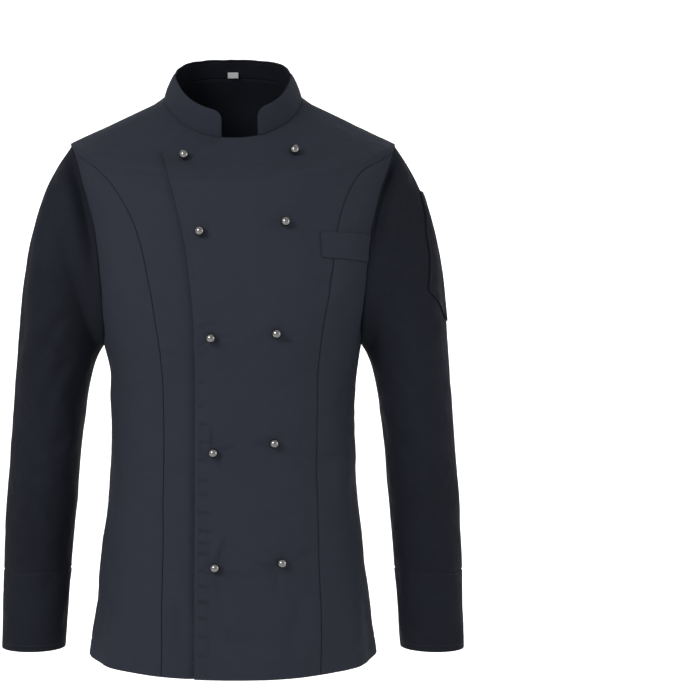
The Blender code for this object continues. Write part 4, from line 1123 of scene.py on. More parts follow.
def build_stud(name, x, z, studs, cloth, steel):
    """A polished ball stud on its short shank and foot."""
    base, out = stud_frame(x, z, cloth)
    ball_radius = studs.ball_radius
    profile = [(0.0, 0.0), (FOOT_RADIUS - 0.0002, 0.0), (FOOT_RADIUS, 0.0002)]
    profile += [(FOOT_RADIUS, FOOT_THICK - 0.0002), (FOOT_RADIUS - 0.0002, FOOT_THICK)]
    profile += [(SHANK_RADIUS + 0.0002, FOOT_THICK), (SHANK_RADIUS, FOOT_THICK + 0.0002)]
    start = math.asin(SHANK_RADIUS / ball_radius)
    middle = FOOT_THICK + SHANK_LENGTH + ball_radius * math.cos(start)
    for k in range(20):
        turn = between(start, math.pi, k / 20)
        profile.append((ball_radius * math.sin(turn), middle - ball_radius * math.cos(turn)))
    profile.append((0.0, middle + ball_radius))
    bm = bmesh.new()
    ring = [bm.verts.new((r, 0.0, h)) for r, h in profile]
    lines = [bm.edges.new((a, b)) for a, b in zip(ring, ring[1:])]
    bmesh.ops.spin(
        bm, geom=ring + lines, cent=(0, 0, 0), axis=(0, 0, 1), angle=2 * math.pi, steps=28
    )
    bmesh.ops.remove_doubles(bm, verts=bm.verts, dist=1e-6)
    bmesh.ops.recalc_face_normals(bm, faces=bm.faces)
    turned = Vector((0, 0, 1)).rotation_difference(out).to_matrix().to_4x4()
    bmesh.ops.transform(bm, matrix=turned, verts=bm.verts)
    bmesh.ops.translate(bm, vec=base + out * 0.0003, verts=bm.verts)
    mesh = bpy.data.meshes.new(f"stud_{name}_steel")
    bm.to_mesh(mesh)
    bm.free()
    mesh.shade_smooth()
    made = bpy.data.objects.new(mesh.name, mesh)
    bpy.context.scene.collection.objects.link(made)
    finish_piece(made, "polished_steel", [f"stud_{name}"], steel)


# ---------------------------------------------------------------- stitching
def stitch_tree():
    """Geometry Nodes that lay one stitch on each point, along its row and up from the cloth."""
    tree = bpy.data.node_groups.new("row_of_stitches", "GeometryNodeTree")
    tree.interface.new_socket("Points", in_out="INPUT", socket_type="NodeSocketGeometry")
    for name, low in (("Stitch Length", 0.0005), ("Stitch Width", 0.0001), ("Unevenness", 0.0)):
        socket = tree.interface.new_socket(name, in_out="INPUT", socket_type="NodeSocketFloat")
        socket.min_value = low if low else 0.0
    seed = tree.interface.new_socket("Seed", in_out="INPUT", socket_type="NodeSocketInt")
    seed.default_value = 7
    tree.interface.new_socket("Thread", in_out="INPUT", socket_type="NodeSocketMaterial")
    tree.interface.new_socket("Stitches", in_out="OUTPUT", socket_type="NodeSocketGeometry")
    new, link = tree.nodes.new, tree.links.new
    given, made = new("NodeGroupInput"), new("NodeGroupOutput")

    def vector_attribute(name):
        node = new("GeometryNodeInputNamedAttribute")
        node.data_type = "FLOAT_VECTOR"
        node.inputs["Name"].default_value = name
        return node.outputs["Attribute"]

    ball = new("GeometryNodeMeshUVSphere")
    ball.inputs["Segments"].default_value = 6
    ball.inputs["Rings"].default_value = 5
    ball.inputs["Radius"].default_value = 0.5
    to_points = new("GeometryNodeMeshToPoints")
    axes = new("FunctionNodeAxesToRotation")
    axes.primary_axis = "X"
    axes.secondary_axis = "Z"
    size = new("ShaderNodeCombineXYZ")
    uneven = new("FunctionNodeRandomValue")
    uneven.data_type = "FLOAT"
    less = new("ShaderNodeMath")
    less.operation = "SUBTRACT"
    less.inputs[0].default_value = 1.0
    scaled = new("ShaderNodeMath")
    scaled.operation = "MULTIPLY"
    place = new("GeometryNodeInstanceOnPoints")
    real = new("GeometryNodeRealizeInstances")
    paint = new("GeometryNodeSetMaterial")
    smooth = new("GeometryNodeSetShadeSmooth")
    link(given.outputs["Points"], to_points.inputs["Mesh"])
    link(to_points.outputs["Points"], place.inputs["Points"])
    link(ball.outputs["Mesh"], place.inputs["Instance"])
    link(vector_attribute("along"), axes.inputs["Primary Axis"])
    link(vector_attribute("away"), axes.inputs["Secondary Axis"])
    link(axes.outputs["Rotation"], place.inputs["Rotation"])
    link(given.outputs["Unevenness"], less.inputs[1])
    link(less.outputs[0], uneven.inputs["Min"])
    link(given.outputs["Seed"], uneven.inputs["Seed"])
    link(given.outputs["Stitch Length"], scaled.inputs[0])
    link(uneven.outputs["Value"], scaled.inputs[1])
    link(scaled.outputs[0], size.inputs["X"])
    link(given.outputs["Stitch Width"], size.inputs["Y"])
    link(given.outputs["Stitch Width"], size.inputs["Z"])
    link(size.outputs["Vector"], place.inputs["Scale"])
    link(place.outputs["Instances"], real.inputs["Geometry"])
    link(real.outputs["Geometry"], smooth.inputs["Geometry"])
    link(smooth.outputs["Geometry"], paint.inputs["Geometry"])
    link(given.outputs["Thread"], paint.inputs["Material"])
    link(paint.outputs["Geometry"], made.inputs["Stitches"])
    return tree


def set_input(modifier, name, value):
    """Sets a Geometry Nodes input by its socket's identifier."""
    for item in modifier.node_group.interface.items_tree:
        if item.item_type == "SOCKET" and item.in_out == "INPUT" and item.name == name:
            modifier[item.identifier] = value
            return
    raise RuntimeError(f"the stitches have no input named {name}")


def lay_stitches(name, spots, along, away, length, width, thread, stitching):
    """A plain mesh of stitches at the given spots."""
    mesh = bpy.data.meshes.new(name + "_points")
    mesh.from_pydata([tuple(p) for p in spots], [], [])
    for key, values in (("along", along), ("away", away)):
        layer = mesh.attributes.new(key, "FLOAT_VECTOR", "POINT")
        layer.data.foreach_set("vector", np.asarray(values, np.float32).reshape(-1))
    holder = bpy.data.objects.new(name + "_points", mesh)
    bpy.context.scene.collection.objects.link(holder)
    tree = bpy.data.node_groups.get("row_of_stitches") or stitch_tree()
    modifier = holder.modifiers.new("Stitches", "NODES")
    modifier.node_group = tree
    set_input(modifier, "Stitch Length", length)
    set_input(modifier, "Stitch Width", width)
    set_input(modifier, "Unevenness", stitching.unevenness)
    set_input(modifier, "Seed", stitching.seed)
    set_input(modifier, "Thread", thread)
    bpy.context.view_layer.update()
    graph = bpy.context.evaluated_depsgraph_get()
    made_mesh = bpy.data.meshes.new_from_object(
        holder.evaluated_get(graph), preserve_all_data_layers=True, depsgraph=graph
    )
    made_mesh.name = name
    bpy.data.objects.remove(holder, do_unlink=True)
    bpy.data.meshes.remove(mesh)
    made = bpy.data.objects.new(name, made_mesh)
    bpy.context.scene.collection.objects.link(made)
    if not made_mesh.materials:
        made_mesh.materials.append(thread)
    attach(made, "root")
    return made


def stitch_row(points, normals, pitch):
    """Even spots along a line, with the directions along it and away from the cloth."""
    step = np.linalg.norm(np.diff(points, axis=0), axis=-1)
    run = np.concatenate([[0.0], np.cumsum(step)])
    at = np.arange(pitch / 2, run[-1], pitch)
    spots = np.stack([np.interp(at, run, points[:, k]) for k in range(3)], axis=-1)
    away = unit(np.stack([np.interp(at, run, normals[:, k]) for k in range(3)], axis=-1))
    ahead = np.stack([np.interp(at + pitch / 4, run, points[:, k]) for k in range(3)], axis=-1)
    behind = np.stack([np.interp(at - pitch / 4, run, points[:, k]) for k in range(3)], axis=-1)
    return spots, unit(ahead - behind), away


def torso_line(angle, height, cloth, lapped=False, raise_by=0.0):
    """A line on the torso's cloth, with its outward directions."""
    plain = torso(angle, height)
    lift = lap_lift(plain) if lapped else np.zeros(np.shape(angle))
    points = torso_cloth(angle, height, cloth, lift)
    normals = torso_normal(angle, height)
    if lapped:
        points = points + normals * lap_details(points, cloth)[..., None]
    return points + normals * raise_by, normals


def stitched_lines(cloth):
    """Every row of stitches on the torso, as points with outward directions."""
    sink = -0.00018
    lines = []
    rows = ROWS[(ROWS < -0.0735) & (ROWS > HEM.height + 0.001)]
    for offset, name, side in ((0.0032, "princess_right", -1.0), (-0.0032, "princess_left", 1.0)):
        begin = armhole(PRINCESS_STEP)[1]
        heights = rows[rows < begin - 0.004]
        seam = outer_angles(heights, name, side)
        x = torso(seam, heights)[..., 0] + offset
        angle, ring = ring_at(x, torso(seam, heights)[..., 2])
        lines.append(torso_line(angle, ring, cloth, lapped=side > 0, raise_by=sink))
    z = np.linspace(-0.068, HEM.height - 0.008, 420)
    angle, ring = ring_at(LINES["lap_edge"](z) + 0.006, z)
    lines.append(torso_line(angle, ring, cloth, lapped=True, raise_by=sink - HEM_GROOVE))
    height = np.full(700, HEM.height + HEM_DEPTH)
    lap_angle = float(angle_of_line(np.array(HEM.height + HEM_DEPTH), LINES["lap_edge"]))
    round_left = np.linspace(lap_angle + 0.6, 180.0, 350)
    round_right = np.linspace(-180.0, lap_angle - 0.6, 350)
    for angle in (round_left, round_right):
        lines.append(
            torso_line(angle, height[:350], cloth, lapped=bool(angle[0] > -90.0), raise_by=sink - HEM_GROOVE)
        )
    return lines


def collar_lines():
    """The rows of stitches near the collar's outer edges."""
    first, last = collar_span()
    angle = np.linspace(first + 3.6, last - 3.6, 500)
    tall = np.linalg.norm(collar_point(angle, np.ones(500)) - collar_point(angle, np.zeros(500)), axis=-1)
    share = 1.0 - 0.0045 / tall
    near = np.minimum(angle - first, last - angle)
    share = share - 0.16 * np.clip(1.0 - (near - 3.6) / 6.0, 0.0, 1.0) ** 2
    normals = collar_normals(angle, share)
    lines = [(collar_point(angle, share) - normals * 0.0001, normals)]
    for end in (first + 3.6, last - 3.6):
        share = np.linspace(0.04, float(share[0]), 60)
        angle = np.full(60, end)
        normals = collar_normals(angle, share)
        lines.append((collar_point(angle, share) - normals * 0.0001, normals))
    return lines


def collar_normals(angle, share):
    round_it = collar_point(angle + 0.5, share) - collar_point(angle - 0.5, share)
    up = collar_point(angle, share + 0.03) - collar_point(angle, share - 0.03)
    return unit(np.cross(round_it, up))


def sleeve_lines(side, cloth):
    """The rows of stitches on a cuff."""
    lines = []
    step = np.linspace(-180.0, 180.0, 400)
    for station in (CUFF_SEAM + 0.030, CUFF_EDGE - 0.075):
        where = np.full(400, station)
        plain = sleeve(where, step)
        normal = sleeve_normal(where, step)
        points = plain + normal * (sleeve_relief(where, step, plain, side, cloth) - 0.0001)[..., None]
        flip = np.array([side, 1.0, 1.0])
        lines.append((points * flip, normal * flip))
    return lines


def pocket_lines(cloth):
    """The rows of stitches round the two pockets."""
    lines = []
    inset = 0.0022
    u, v = inset / WELT_WIDE, inset / WELT_DEPTH
    corners = [(u, v), (u, 1 - v), (1 - u, 1 - v), (1 - u, v), (u, v)]
    for (u0, v0), (u1, v1) in zip(corners, corners[1:]):
        share = np.linspace(u0, u1, 60)
        drop = np.linspace(v0, v1, 60) * WELT_DEPTH
        start, height = ring_at(WELT_START, WELT_TOP - WELT_FALL * share - drop)
        angle = between(start, armhole(armhole_step(height))[0] - WELT_CLEAR, share)
        gape = WELT_GAPE * np.sin(math.pi * share) * smooth_step(1.0 - drop / 0.010)
        points = torso_cloth(angle, height, cloth, np.full(60, WELT_LIFT))
        normals = torso_normal(angle, height)
        lines.append((points + normals * (gape - 0.0001)[..., None], normals))
    u, v = inset / PEN_WIDE, inset / PEN_DEEP
    paths = [((u, 0.10), (u, 1 - v)), ((u, 1 - v), (1 - u, 1 - v)), ((1 - u, 1 - v), (1 - u, 0.10))]
    paths.append(((0.0 + u, 0.10), (1.0 - u, 0.10)))
    for (u0, v0), (u1, v1) in paths:
        share = np.linspace(u0, u1, 90)
        fall = np.linspace(v0, v1, 90)
        step, station = pen_track(share, fall)
        plain = sleeve(station, step)
        normal = sleeve_normal(station, step)
        gape = PEN_GAPE * np.sin(math.pi * share) * smooth_step(1.0 - fall / PEN_MOUTH)
        lift = 0.0019 + sleeve_relief(station, step, plain, 1.0, cloth) + gape
        lines.append((plain + normal * lift[..., None], normal))
    return lines


def stitch_all(name, lines, stitching, thread):
    """One mesh of stitches along several lines."""
    rows = [stitch_row(points, normals, stitching.pitch) for points, normals in lines]
    spots, along, away = (np.concatenate(parts) for parts in zip(*rows))
    lay_stitches(name, spots, along, away, stitching.length, stitching.width, thread, stitching)


def build_eyelets(cloth, stitching, thread):
    """A small stitched eyelet round the foot of each stud."""
    spots, along, away = [], [], []
    for _name, x, z in stud_places():
        base, out = stud_frame(x, z, cloth)
        side = out.cross(Vector((0, 0, 1))).normalized()
        up = side.cross(out)
        for k in range(26):
            turn = 2.0 * math.pi * k / 26
            radial = side * math.cos(turn) + up * math.sin(turn)
            spots.append(base + radial * 0.0044 + out * 0.0001)
            along.append(radial)
            away.append(out)
    lay_stitches("eyelet_stitches", spots, along, away, 0.0019, 0.0006, thread, stitching)


# ---------------------------------------------------------------- materials
def shader_tree(name):
    made = bpy.data.materials.new(name)
    made.use_nodes = True
    nodes, links = made.node_tree.nodes, made.node_tree.links
    return made, nodes, links, nodes["Principled BSDF"]


def mapped_noise(nodes, links, source, scale, detail, rough=0.5):
    """Noise read at a scale from a coordinate socket."""
    noise = nodes.new("ShaderNodeTexNoise")
    noise.inputs["Scale"].default_value = scale
    noise.inputs["Detail"].default_value = detail
    noise.inputs["Roughness"].default_value = rough
    links.new(source, noise.inputs["Vector"])
    return noise.outputs["Fac"]


def ranged(nodes, links, value, low, high, to_low, to_high):
    """A value mapped from one range to another and kept to it."""
    node = nodes.new("ShaderNodeMapRange")
    node.inputs["From Min"].default_value = low
    node.inputs["From Max"].default_value = high
    node.inputs["To Min"].default_value = to_low
    node.inputs["To Max"].default_value = to_high
    links.new(value, node.inputs["Value"])
    return node.outputs["Result"]


def combined(nodes, links, operation, first, second):
    node = nodes.new("ShaderNodeMath")
    node.operation = operation
    for socket, value in zip(node.inputs, (first, second)):
        if isinstance(value, (int, float)):
            socket.default_value = value
        else:
            links.new(value, socket)
    return node.outputs[0]


def mixed(nodes, links, share, first, second):
    """Two colours mixed by a share."""
    node = nodes.new("ShaderNodeMix")
    node.data_type = "RGBA"
    if isinstance(share, float):
        node.inputs[0].default_value = share
    else:
        links.new(share, node.inputs[0])
    for socket, value in ((node.inputs[6], first), (node.inputs[7], second)):
        if isinstance(value, tuple):
            socket.default_value = (*value, 1.0)
        else:
            links.new(value, socket)
    return node.outputs[2]


TWILL_TURN = 0.9
TWILL_SHEEN = 0.02


def twill(name, colour, cloth):
    """Matt dyed twill: fine slanting ribs, uneven dye, worn edges and a slight fuzz, with painted shade along
    the seams and beside the lap's edge and painted light on the inner faces.
    """
    made, nodes, links, shader = shader_tree(name)
    uv = nodes.new("ShaderNodeUVMap")
    uv.uv_map = "cloth"
    place = nodes.new("ShaderNodeTexCoord").outputs["Object"]
    turned = nodes.new("ShaderNodeMapping")
    turned.inputs["Rotation"].default_value = (0.0, 0.0, TWILL_TURN)
    turned.inputs["Scale"].default_value = (1.0 / cloth.twill_pitch,) * 3
    links.new(uv.outputs["UV"], turned.inputs["Vector"])
    ribs = nodes.new("ShaderNodeTexWave")
    ribs.wave_type = "BANDS"
    ribs.bands_direction = "X"
    ribs.wave_profile = "SIN"
    ribs.inputs["Scale"].default_value = 0.314
    ribs.inputs["Distortion"].default_value = 0.6
    ribs.inputs["Detail"].default_value = 1.0
    ribs.inputs["Detail Scale"].default_value = 1.5
    links.new(turned.outputs["Vector"], ribs.inputs["Vector"])
    yarn = nodes.new("ShaderNodeTexNoise")
    yarn.inputs["Scale"].default_value = 2600.0
    yarn.inputs["Detail"].default_value = 2.0
    links.new(uv.outputs["UV"], yarn.inputs["Vector"])
    patches = mapped_noise(nodes, links, place, 9.0, 4.0)
    mottle = mapped_noise(nodes, links, place, 70.0, 5.0, 0.65)
    edge = nodes.new("ShaderNodeAttribute")
    edge.attribute_name = "from_edge"
    worn = ranged(nodes, links, edge.outputs["Fac"], 0.0, 0.0016, 1.0, 0.0)
    worn = combined(nodes, links, "MULTIPLY", worn, ranged(nodes, links, mottle, 0.35, 0.65, 0.1, 1.0))
    low = tuple(c * 0.84 for c in colour)
    high = tuple(c * 1.18 + 0.0006 for c in colour)
    base = mixed(nodes, links, ranged(nodes, links, patches, 0.35, 0.65, 0.0, 1.0), low, high)
    ribbed = ranged(nodes, links, ribs.outputs["Fac"], 0.0, 1.0, 0.0, 0.55)
    base = mixed(nodes, links, ribbed, base, tuple(c * 1.45 + 0.001 for c in colour))
    flecks = ranged(nodes, links, yarn.outputs["Fac"], 0.56, 0.74, 0.0, 0.40)
    base = mixed(nodes, links, flecks, base, tuple(c * 2.0 + 0.002 for c in colour))
    edged = combined(nodes, links, "MULTIPLY", worn, 0.16)
    base = mixed(nodes, links, edged, base, tuple(c * 2.0 + 0.003 for c in colour))
    # Painted shade: the colour darkens along the seams and beside the lap's edge, where shade falls.
    seam = nodes.new("ShaderNodeAttribute")
    seam.attribute_name = "from_seam"
    painted_seam_shade = ranged(nodes, links, seam.outputs["Fac"], -SHADE_DEEP, 0.0021, 0.92, 0.0)
    base = mixed(nodes, links, painted_seam_shade, base, tuple(c * 0.18 for c in colour))
    # Painted light: the inner faces get a far lighter colour than the outer ones, standing in for light
    # inside the hollow.
    inner = nodes.new("ShaderNodeAttribute")
    inner.attribute_name = "inside"
    painted_inside_light = combined(nodes, links, "MULTIPLY", inner.outputs["Fac"], 0.95)
    base = mixed(nodes, links, painted_inside_light, base, tuple(c * 2.3 + 0.006 for c in colour))
    links.new(base, shader.inputs["Base Color"])
    rough = ranged(nodes, links, mottle, 0.3, 0.7, 0.74, 0.90)
    links.new(rough, shader.inputs["Roughness"])
    shader.inputs["Specular IOR Level"].default_value = 0.12
    shader.inputs["Sheen Weight"].default_value = TWILL_SHEEN
    shader.inputs["Sheen Roughness"].default_value = 0.45
    shader.inputs["Sheen Tint"].default_value = (0.70, 0.76, 1.0, 1.0)
    weave = nodes.new("ShaderNodeBump")
    weave.inputs["Strength"].default_value = 0.55
    weave.inputs["Distance"].default_value = 0.00012
    height = combined(nodes, links, "ADD", ribs.outputs["Fac"], combined(
        nodes, links, "MULTIPLY", yarn.outputs["Fac"], 0.8))
    links.new(height, weave.inputs["Height"])
    crumple = nodes.new("ShaderNodeBump")
    crumple.inputs["Strength"].default_value = 0.35
    crumple.inputs["Distance"].default_value = 0.0010
    soft = combined(nodes, links, "ADD", mapped_noise(nodes, links, place, 38.0, 3.0),
                    combined(nodes, links, "MULTIPLY", mottle, 0.25))
    links.new(soft, crumple.inputs["Height"])
    links.new(crumple.outputs["Normal"], weave.inputs["Normal"])
    links.new(weave.outputs["Normal"], shader.inputs["Normal"])
    return made


def thread_material(colour):
    """Twisted polyester thread, a little glossier than the cloth."""
    made, nodes, links, shader = shader_tree("navy_thread")
    place = nodes.new("ShaderNodeTexCoord").outputs["Object"]
    tone = mapped_noise(nodes, links, place, 420.0, 2.0)
    high = tuple(c * 1.6 + 0.003 for c in colour)
    links.new(mixed(nodes, links, tone, colour, high), shader.inputs["Base Color"])
    links.new(ranged(nodes, links, tone, 0.3, 0.7, 0.50, 0.66), shader.inputs["Roughness"])
    bump = nodes.new("ShaderNodeBump")
    bump.inputs["Strength"].default_value = 0.4
    bump.inputs["Distance"].default_value = 0.00008
    links.new(mapped_noise(nodes, links, place, 3200.0, 1.0), bump.inputs["Height"])
    links.new(bump.outputs["Normal"], shader.inputs["Normal"])
    return made


def tape_material(colour):
    """White woven tape with a fine ribbed weave."""
    made, nodes, links, shader = shader_tree("white_woven_tape")
    uv = nodes.new("ShaderNodeUVMap")
    uv.uv_map = "cloth"
    ribs = nodes.new("ShaderNodeTexWave")
    ribs.bands_direction = "Y"
    ribs.inputs["Scale"].default_value = 700.0
    links.new(uv.outputs["UV"], ribs.inputs["Vector"])
    place = nodes.new("ShaderNodeTexCoord").outputs["Object"]
    soil = mapped_noise(nodes, links, place, 260.0, 3.0)
    base = mixed(nodes, links, ranged(nodes, links, soil, 0.3, 0.7, 0.0, 0.5), colour,
                 tuple(c * 0.84 for c in colour))
    links.new(base, shader.inputs["Base Color"])
    links.new(ranged(nodes, links, soil, 0.3, 0.7, 0.62, 0.76), shader.inputs["Roughness"])
    bump = nodes.new("ShaderNodeBump")
    bump.inputs["Strength"].default_value = 0.5
    bump.inputs["Distance"].default_value = 0.0001
    links.new(ribs.outputs["Fac"], bump.inputs["Height"])
    links.new(bump.outputs["Normal"], shader.inputs["Normal"])
    return made


def steel_material(colour, roughness):
    """Polished metal with faint wiping marks."""
    made, nodes, links, shader = shader_tree("polished_stud_steel")
    place = nodes.new("ShaderNodeTexCoord").outputs["Object"]
    marks = mapped_noise(nodes, links, place, 900.0, 4.0, 0.7)
    dull = mapped_noise(nodes, links, place, 140.0, 2.0)
    base = mixed(nodes, links, ranged(nodes, links, dull, 0.35, 0.65, 0.0, 1.0), colour,
                 tuple(c * 0.88 for c in colour))
    links.new(base, shader.inputs["Base Color"])
    shader.inputs["Metallic"].default_value = 1.0
    links.new(ranged(nodes, links, marks, 0.3, 0.7, roughness * 0.6, roughness * 1.6),
              shader.inputs["Roughness"])
    bump = nodes.new("ShaderNodeBump")
    bump.inputs["Strength"].default_value = 0.06
    bump.inputs["Distance"].default_value = 0.00006
    links.new(marks, bump.inputs["Height"])
    links.new(bump.outputs["Normal"], shader.inputs["Normal"])
    return made


def stage_material(colour, glow):
    """Plain pale paper that glows faintly, as if lit from all round."""
    made, nodes, links, shader = shader_tree("pale_stage")
    place = nodes.new("ShaderNodeTexCoord").outputs["Object"]
    soft = mapped_noise(nodes, links, place, 1.2, 2.0)
    base = mixed(nodes, links, soft, colour, tuple(c * 0.985 for c in colour))
    links.new(base, shader.inputs["Base Color"])
    shader.inputs["Roughness"].default_value = 0.9
    shader.inputs["Specular IOR Level"].default_value = 0.1
    split = nodes.new("ShaderNodeSeparateXYZ")
    links.new(place, split.inputs["Vector"])
    back = ranged(nodes, links, split.outputs["Y"], 0.2, 1.2, 0.0, 1.0)
    left = ranged(nodes, links, split.outputs["X"], -1.9, -1.3, 0.0, 1.0)
    right = ranged(nodes, links, split.outputs["X"], 2.0, 2.6, 1.0, 0.0)
    lit = combined(nodes, links, "MULTIPLY", combined(nodes, links, "MULTIPLY", left, right), back)
    bright = mixed(nodes, links, lit, (0.0, 0.0, 0.0), (1.0, 1.0, 1.0))
    links.new(bright, shader.inputs["Emission Color"])
    shader.inputs["Emission Strength"].default_value = glow
    return made


def kept(name, make):
    """A material made once and found again by name."""
    return bpy.data.materials.get(name) or make()


def jacket_cloths(scene):
    cloth = scene.jacket_cloth
    colour = tuple(cloth.colour)
    return [kept("navy_twill_cloth", lambda: twill("navy_twill_cloth", colour, cloth))]


# ---------------------------------------------------------------- settings
class JacketCloth(bpy.types.PropertyGroup):
    """Sizes and colour of the jacket's cloth."""

    wall: FloatProperty(
        name="Cloth thickness", description="Thickness of a panel with its seam allowances",
        default=0.0012, min=0.0004, max=0.003, unit="LENGTH",
    )
    crease_depth: FloatProperty(
        name="Crease depth", description="How strongly the creases show", default=1.35,
        min=0.0, max=2.0, subtype="FACTOR",
    )
    pucker_depth: FloatProperty(
        name="Pucker depth", description="How strongly the lap's stitching puckers the cloth",
        default=1.0, min=0.0, max=2.0, subtype="FACTOR",
    )
    twill_pitch: FloatProperty(
        name="Twill pitch", description="Distance from one twill rib to the next",
        default=0.0007, min=0.0003, max=0.002, unit="LENGTH",
    )
    colour: FloatVectorProperty(
        name="Cloth colour", description="Colour the cloth is dyed", subtype="COLOR",
        default=(0.0112, 0.0129, 0.0192), min=0.0, max=1.0,
    )
    tape_colour: FloatVectorProperty(
        name="Label colour", description="Colour of the size label's tape", subtype="COLOR",
        default=(0.80, 0.80, 0.82), min=0.0, max=1.0,
    )


class JacketStitching(bpy.types.PropertyGroup):
    """Sizes and colour of the jacket's stitches."""

    pitch: FloatProperty(
        name="Stitch pitch", description="Distance from one stitch to the next",
        default=0.0030, min=0.0015, max=0.006, unit="LENGTH",
    )
    length: FloatProperty(
        name="Stitch length", description="Length of the thread that shows in one stitch",
        default=0.0023, min=0.0008, max=0.005, unit="LENGTH",
    )
    width: FloatProperty(
        name="Thread width", description="Thickness of the thread", default=0.0005,
        min=0.0002, max=0.001, unit="LENGTH",
    )
    unevenness: FloatProperty(
        name="Unevenness", description="How much shorter the shortest stitches are",
        default=0.18, min=0.0, max=0.6, subtype="FACTOR",
    )
    seed: IntProperty(name="Seed", description="Which uneven pattern the stitches follow", default=7)
    colour: FloatVectorProperty(
        name="Thread colour", description="Colour of the thread", subtype="COLOR",
        default=(0.0140, 0.0160, 0.0235), min=0.0, max=1.0,
    )


class JacketStuds(bpy.types.PropertyGroup):
    """Size and finish of the ball studs."""

    ball_radius: FloatProperty(
        name="Ball radius", description="Radius of a stud's ball", default=0.0055,
        min=0.003, max=0.008, unit="LENGTH",
    )
    roughness: FloatProperty(
        name="Roughness", description="How dull the polished metal is", default=0.10,
        min=0.02, max=0.6, subtype="FACTOR",
    )
    colour: FloatVectorProperty(
        name="Metal colour", description="Colour of the metal", subtype="COLOR",
        default=(0.36, 0.35, 0.34), min=0.0, max=1.0,
    )


class JacketStage(bpy.types.PropertyGroup):
    """The floor and backdrop, and the lights."""

    floor_height: FloatProperty(
        name="Floor height", description="Height of the floor below the neck", default=-1.05,
        unit="LENGTH",
    )
    colour: FloatVectorProperty(
        name="Stage colour", description="Colour of the floor and backdrop", subtype="COLOR",
        default=(0.90, 0.90, 0.90), min=0.0, max=1.0,
    )
    glow: FloatProperty(
        name="Stage glow", description="Light that the backdrop gives off", default=0.85, min=0.0,
    )
    key_power: FloatProperty(
        name="Key light", description="Power of the main light", default=25.0, unit="POWER",
    )
    fill_power: FloatProperty(
        name="Fill light", description="Power of the light from the other side", default=6.5,
        unit="POWER",
    )
    sky: FloatProperty(
        name="Sky", description="Strength of the light from all round", default=0.45, min=0.0,
    )


# ---------------------------------------------------------------- operators
class JACKET_OT_back(bpy.types.Operator):
    """Make the back"""

    bl_idname = "jacket.back"
    bl_label = "Back"

    def execute(self, context):
        build_back(context.scene.jacket_cloth, jacket_cloths(context.scene))
        return {"FINISHED"}


class JACKET_OT_centre_fronts(bpy.types.Operator):
    """Make the two centre fronts, the left lapping over the right"""

    bl_idname = "jacket.centre_fronts"
    bl_label = "Centre fronts"

    def execute(self, context):
        cloth = context.scene.jacket_cloth
        cloths = jacket_cloths(context.scene)
        under = build_centre_front("front_right_cloth", "front_right", False, cloth, cloths)
        over = build_centre_front("front_left_cloth", "front_left", True, cloth, cloths)
        return {"FINISHED"}


class JACKET_OT_side_fronts(bpy.types.Operator):
    """Make the two side fronts"""

    bl_idname = "jacket.side_fronts"
    bl_label = "Side fronts"

    def execute(self, context):
        cloth = context.scene.jacket_cloth
        cloths = jacket_cloths(context.scene)
        build_side_front("side_front_right_cloth", "side_front_right", "princess_right", -1.0, cloth, cloths)
        build_side_front("side_front_left_cloth", "side_front_left", "princess_left", 1.0, cloth, cloths)
        return {"FINISHED"}


class JACKET_OT_sleeves(bpy.types.Operator):
    """Make the sleeves and their cuffs"""

    bl_idname = "jacket.sleeves"
    bl_label = "Sleeves and cuffs"

    def execute(self, context):
        cloths = jacket_cloths(context.scene)
        for word, side in (("right", -1.0), ("left", 1.0)):
            build_sleeve(word, side, context.scene.jacket_cloth, cloths)
            build_cuff(word, side, context.scene.jacket_cloth, cloths)
        return {"FINISHED"}


class JACKET_OT_collar(bpy.types.Operator):
    """Make the stand collar"""

    bl_idname = "jacket.collar"
    bl_label = "Stand collar"

    def execute(self, context):
        build_collar(context.scene.jacket_cloth, jacket_cloths(context.scene))
        return {"FINISHED"}


class JACKET_OT_pockets(bpy.types.Operator):
    """Make the chest pocket's welt and the sleeve's pen pocket"""

    bl_idname = "jacket.pockets"
    bl_label = "Pockets"

    def execute(self, context):
        cloths = jacket_cloths(context.scene)
        build_welt(context.scene.jacket_cloth, cloths)
        build_pen_pocket(context.scene.jacket_cloth, cloths)
        return {"FINISHED"}


class JACKET_OT_label(bpy.types.Operator):
    """Make the blank size label"""

    bl_idname = "jacket.label"
    bl_label = "Size label"

    def execute(self, context):
        build_label(tape_material(tuple(context.scene.jacket_cloth.tape_colour)))
        return {"FINISHED"}


class JACKET_OT_studs(bpy.types.Operator):
    """Make the ball studs and the stitched eyelets under them"""

    bl_idname = "jacket.studs"
    bl_label = "Ball studs"

    def execute(self, context):
        studs = context.scene.jacket_studs
        cloth = context.scene.jacket_cloth
        stitching = context.scene.jacket_stitching
        steel = steel_material(tuple(studs.colour), studs.roughness)
        for name, x, z in stud_places():
            build_stud(name, x, z, studs, cloth, steel)
        thread = kept("navy_thread", lambda: thread_material(tuple(stitching.colour)))
        build_eyelets(cloth, stitching, thread)
        return {"FINISHED"}


class JACKET_OT_stitching(bpy.types.Operator):
    """Lay the rows of stitches"""

    bl_idname = "jacket.stitching"
    bl_label = "Stitching"

    def execute(self, context):
        cloth = context.scene.jacket_cloth
        stitching = context.scene.jacket_stitching
        thread = kept("navy_thread", lambda: thread_material(tuple(stitching.colour)))
        stitch_all("body_stitches", stitched_lines(cloth), stitching, thread)
        stitch_all("collar_stitches", collar_lines(), stitching, thread)
        stitch_all("right_cuff_stitches", sleeve_lines(-1.0, cloth), stitching, thread)
        stitch_all("left_cuff_stitches", sleeve_lines(1.0, cloth), stitching, thread)
        stitch_all("pocket_stitches", pocket_lines(cloth), stitching, thread)
        return {"FINISHED"}


class JACKET_OT_stage(bpy.types.Operator):
    """Make the pale stage, the soft lights and the camera"""

    bl_idname = "jacket.stage"
    bl_label = "Stage"

    def execute(self, context):
        build_stage(context.scene, context.scene.jacket_stage)
        return {"FINISHED"}


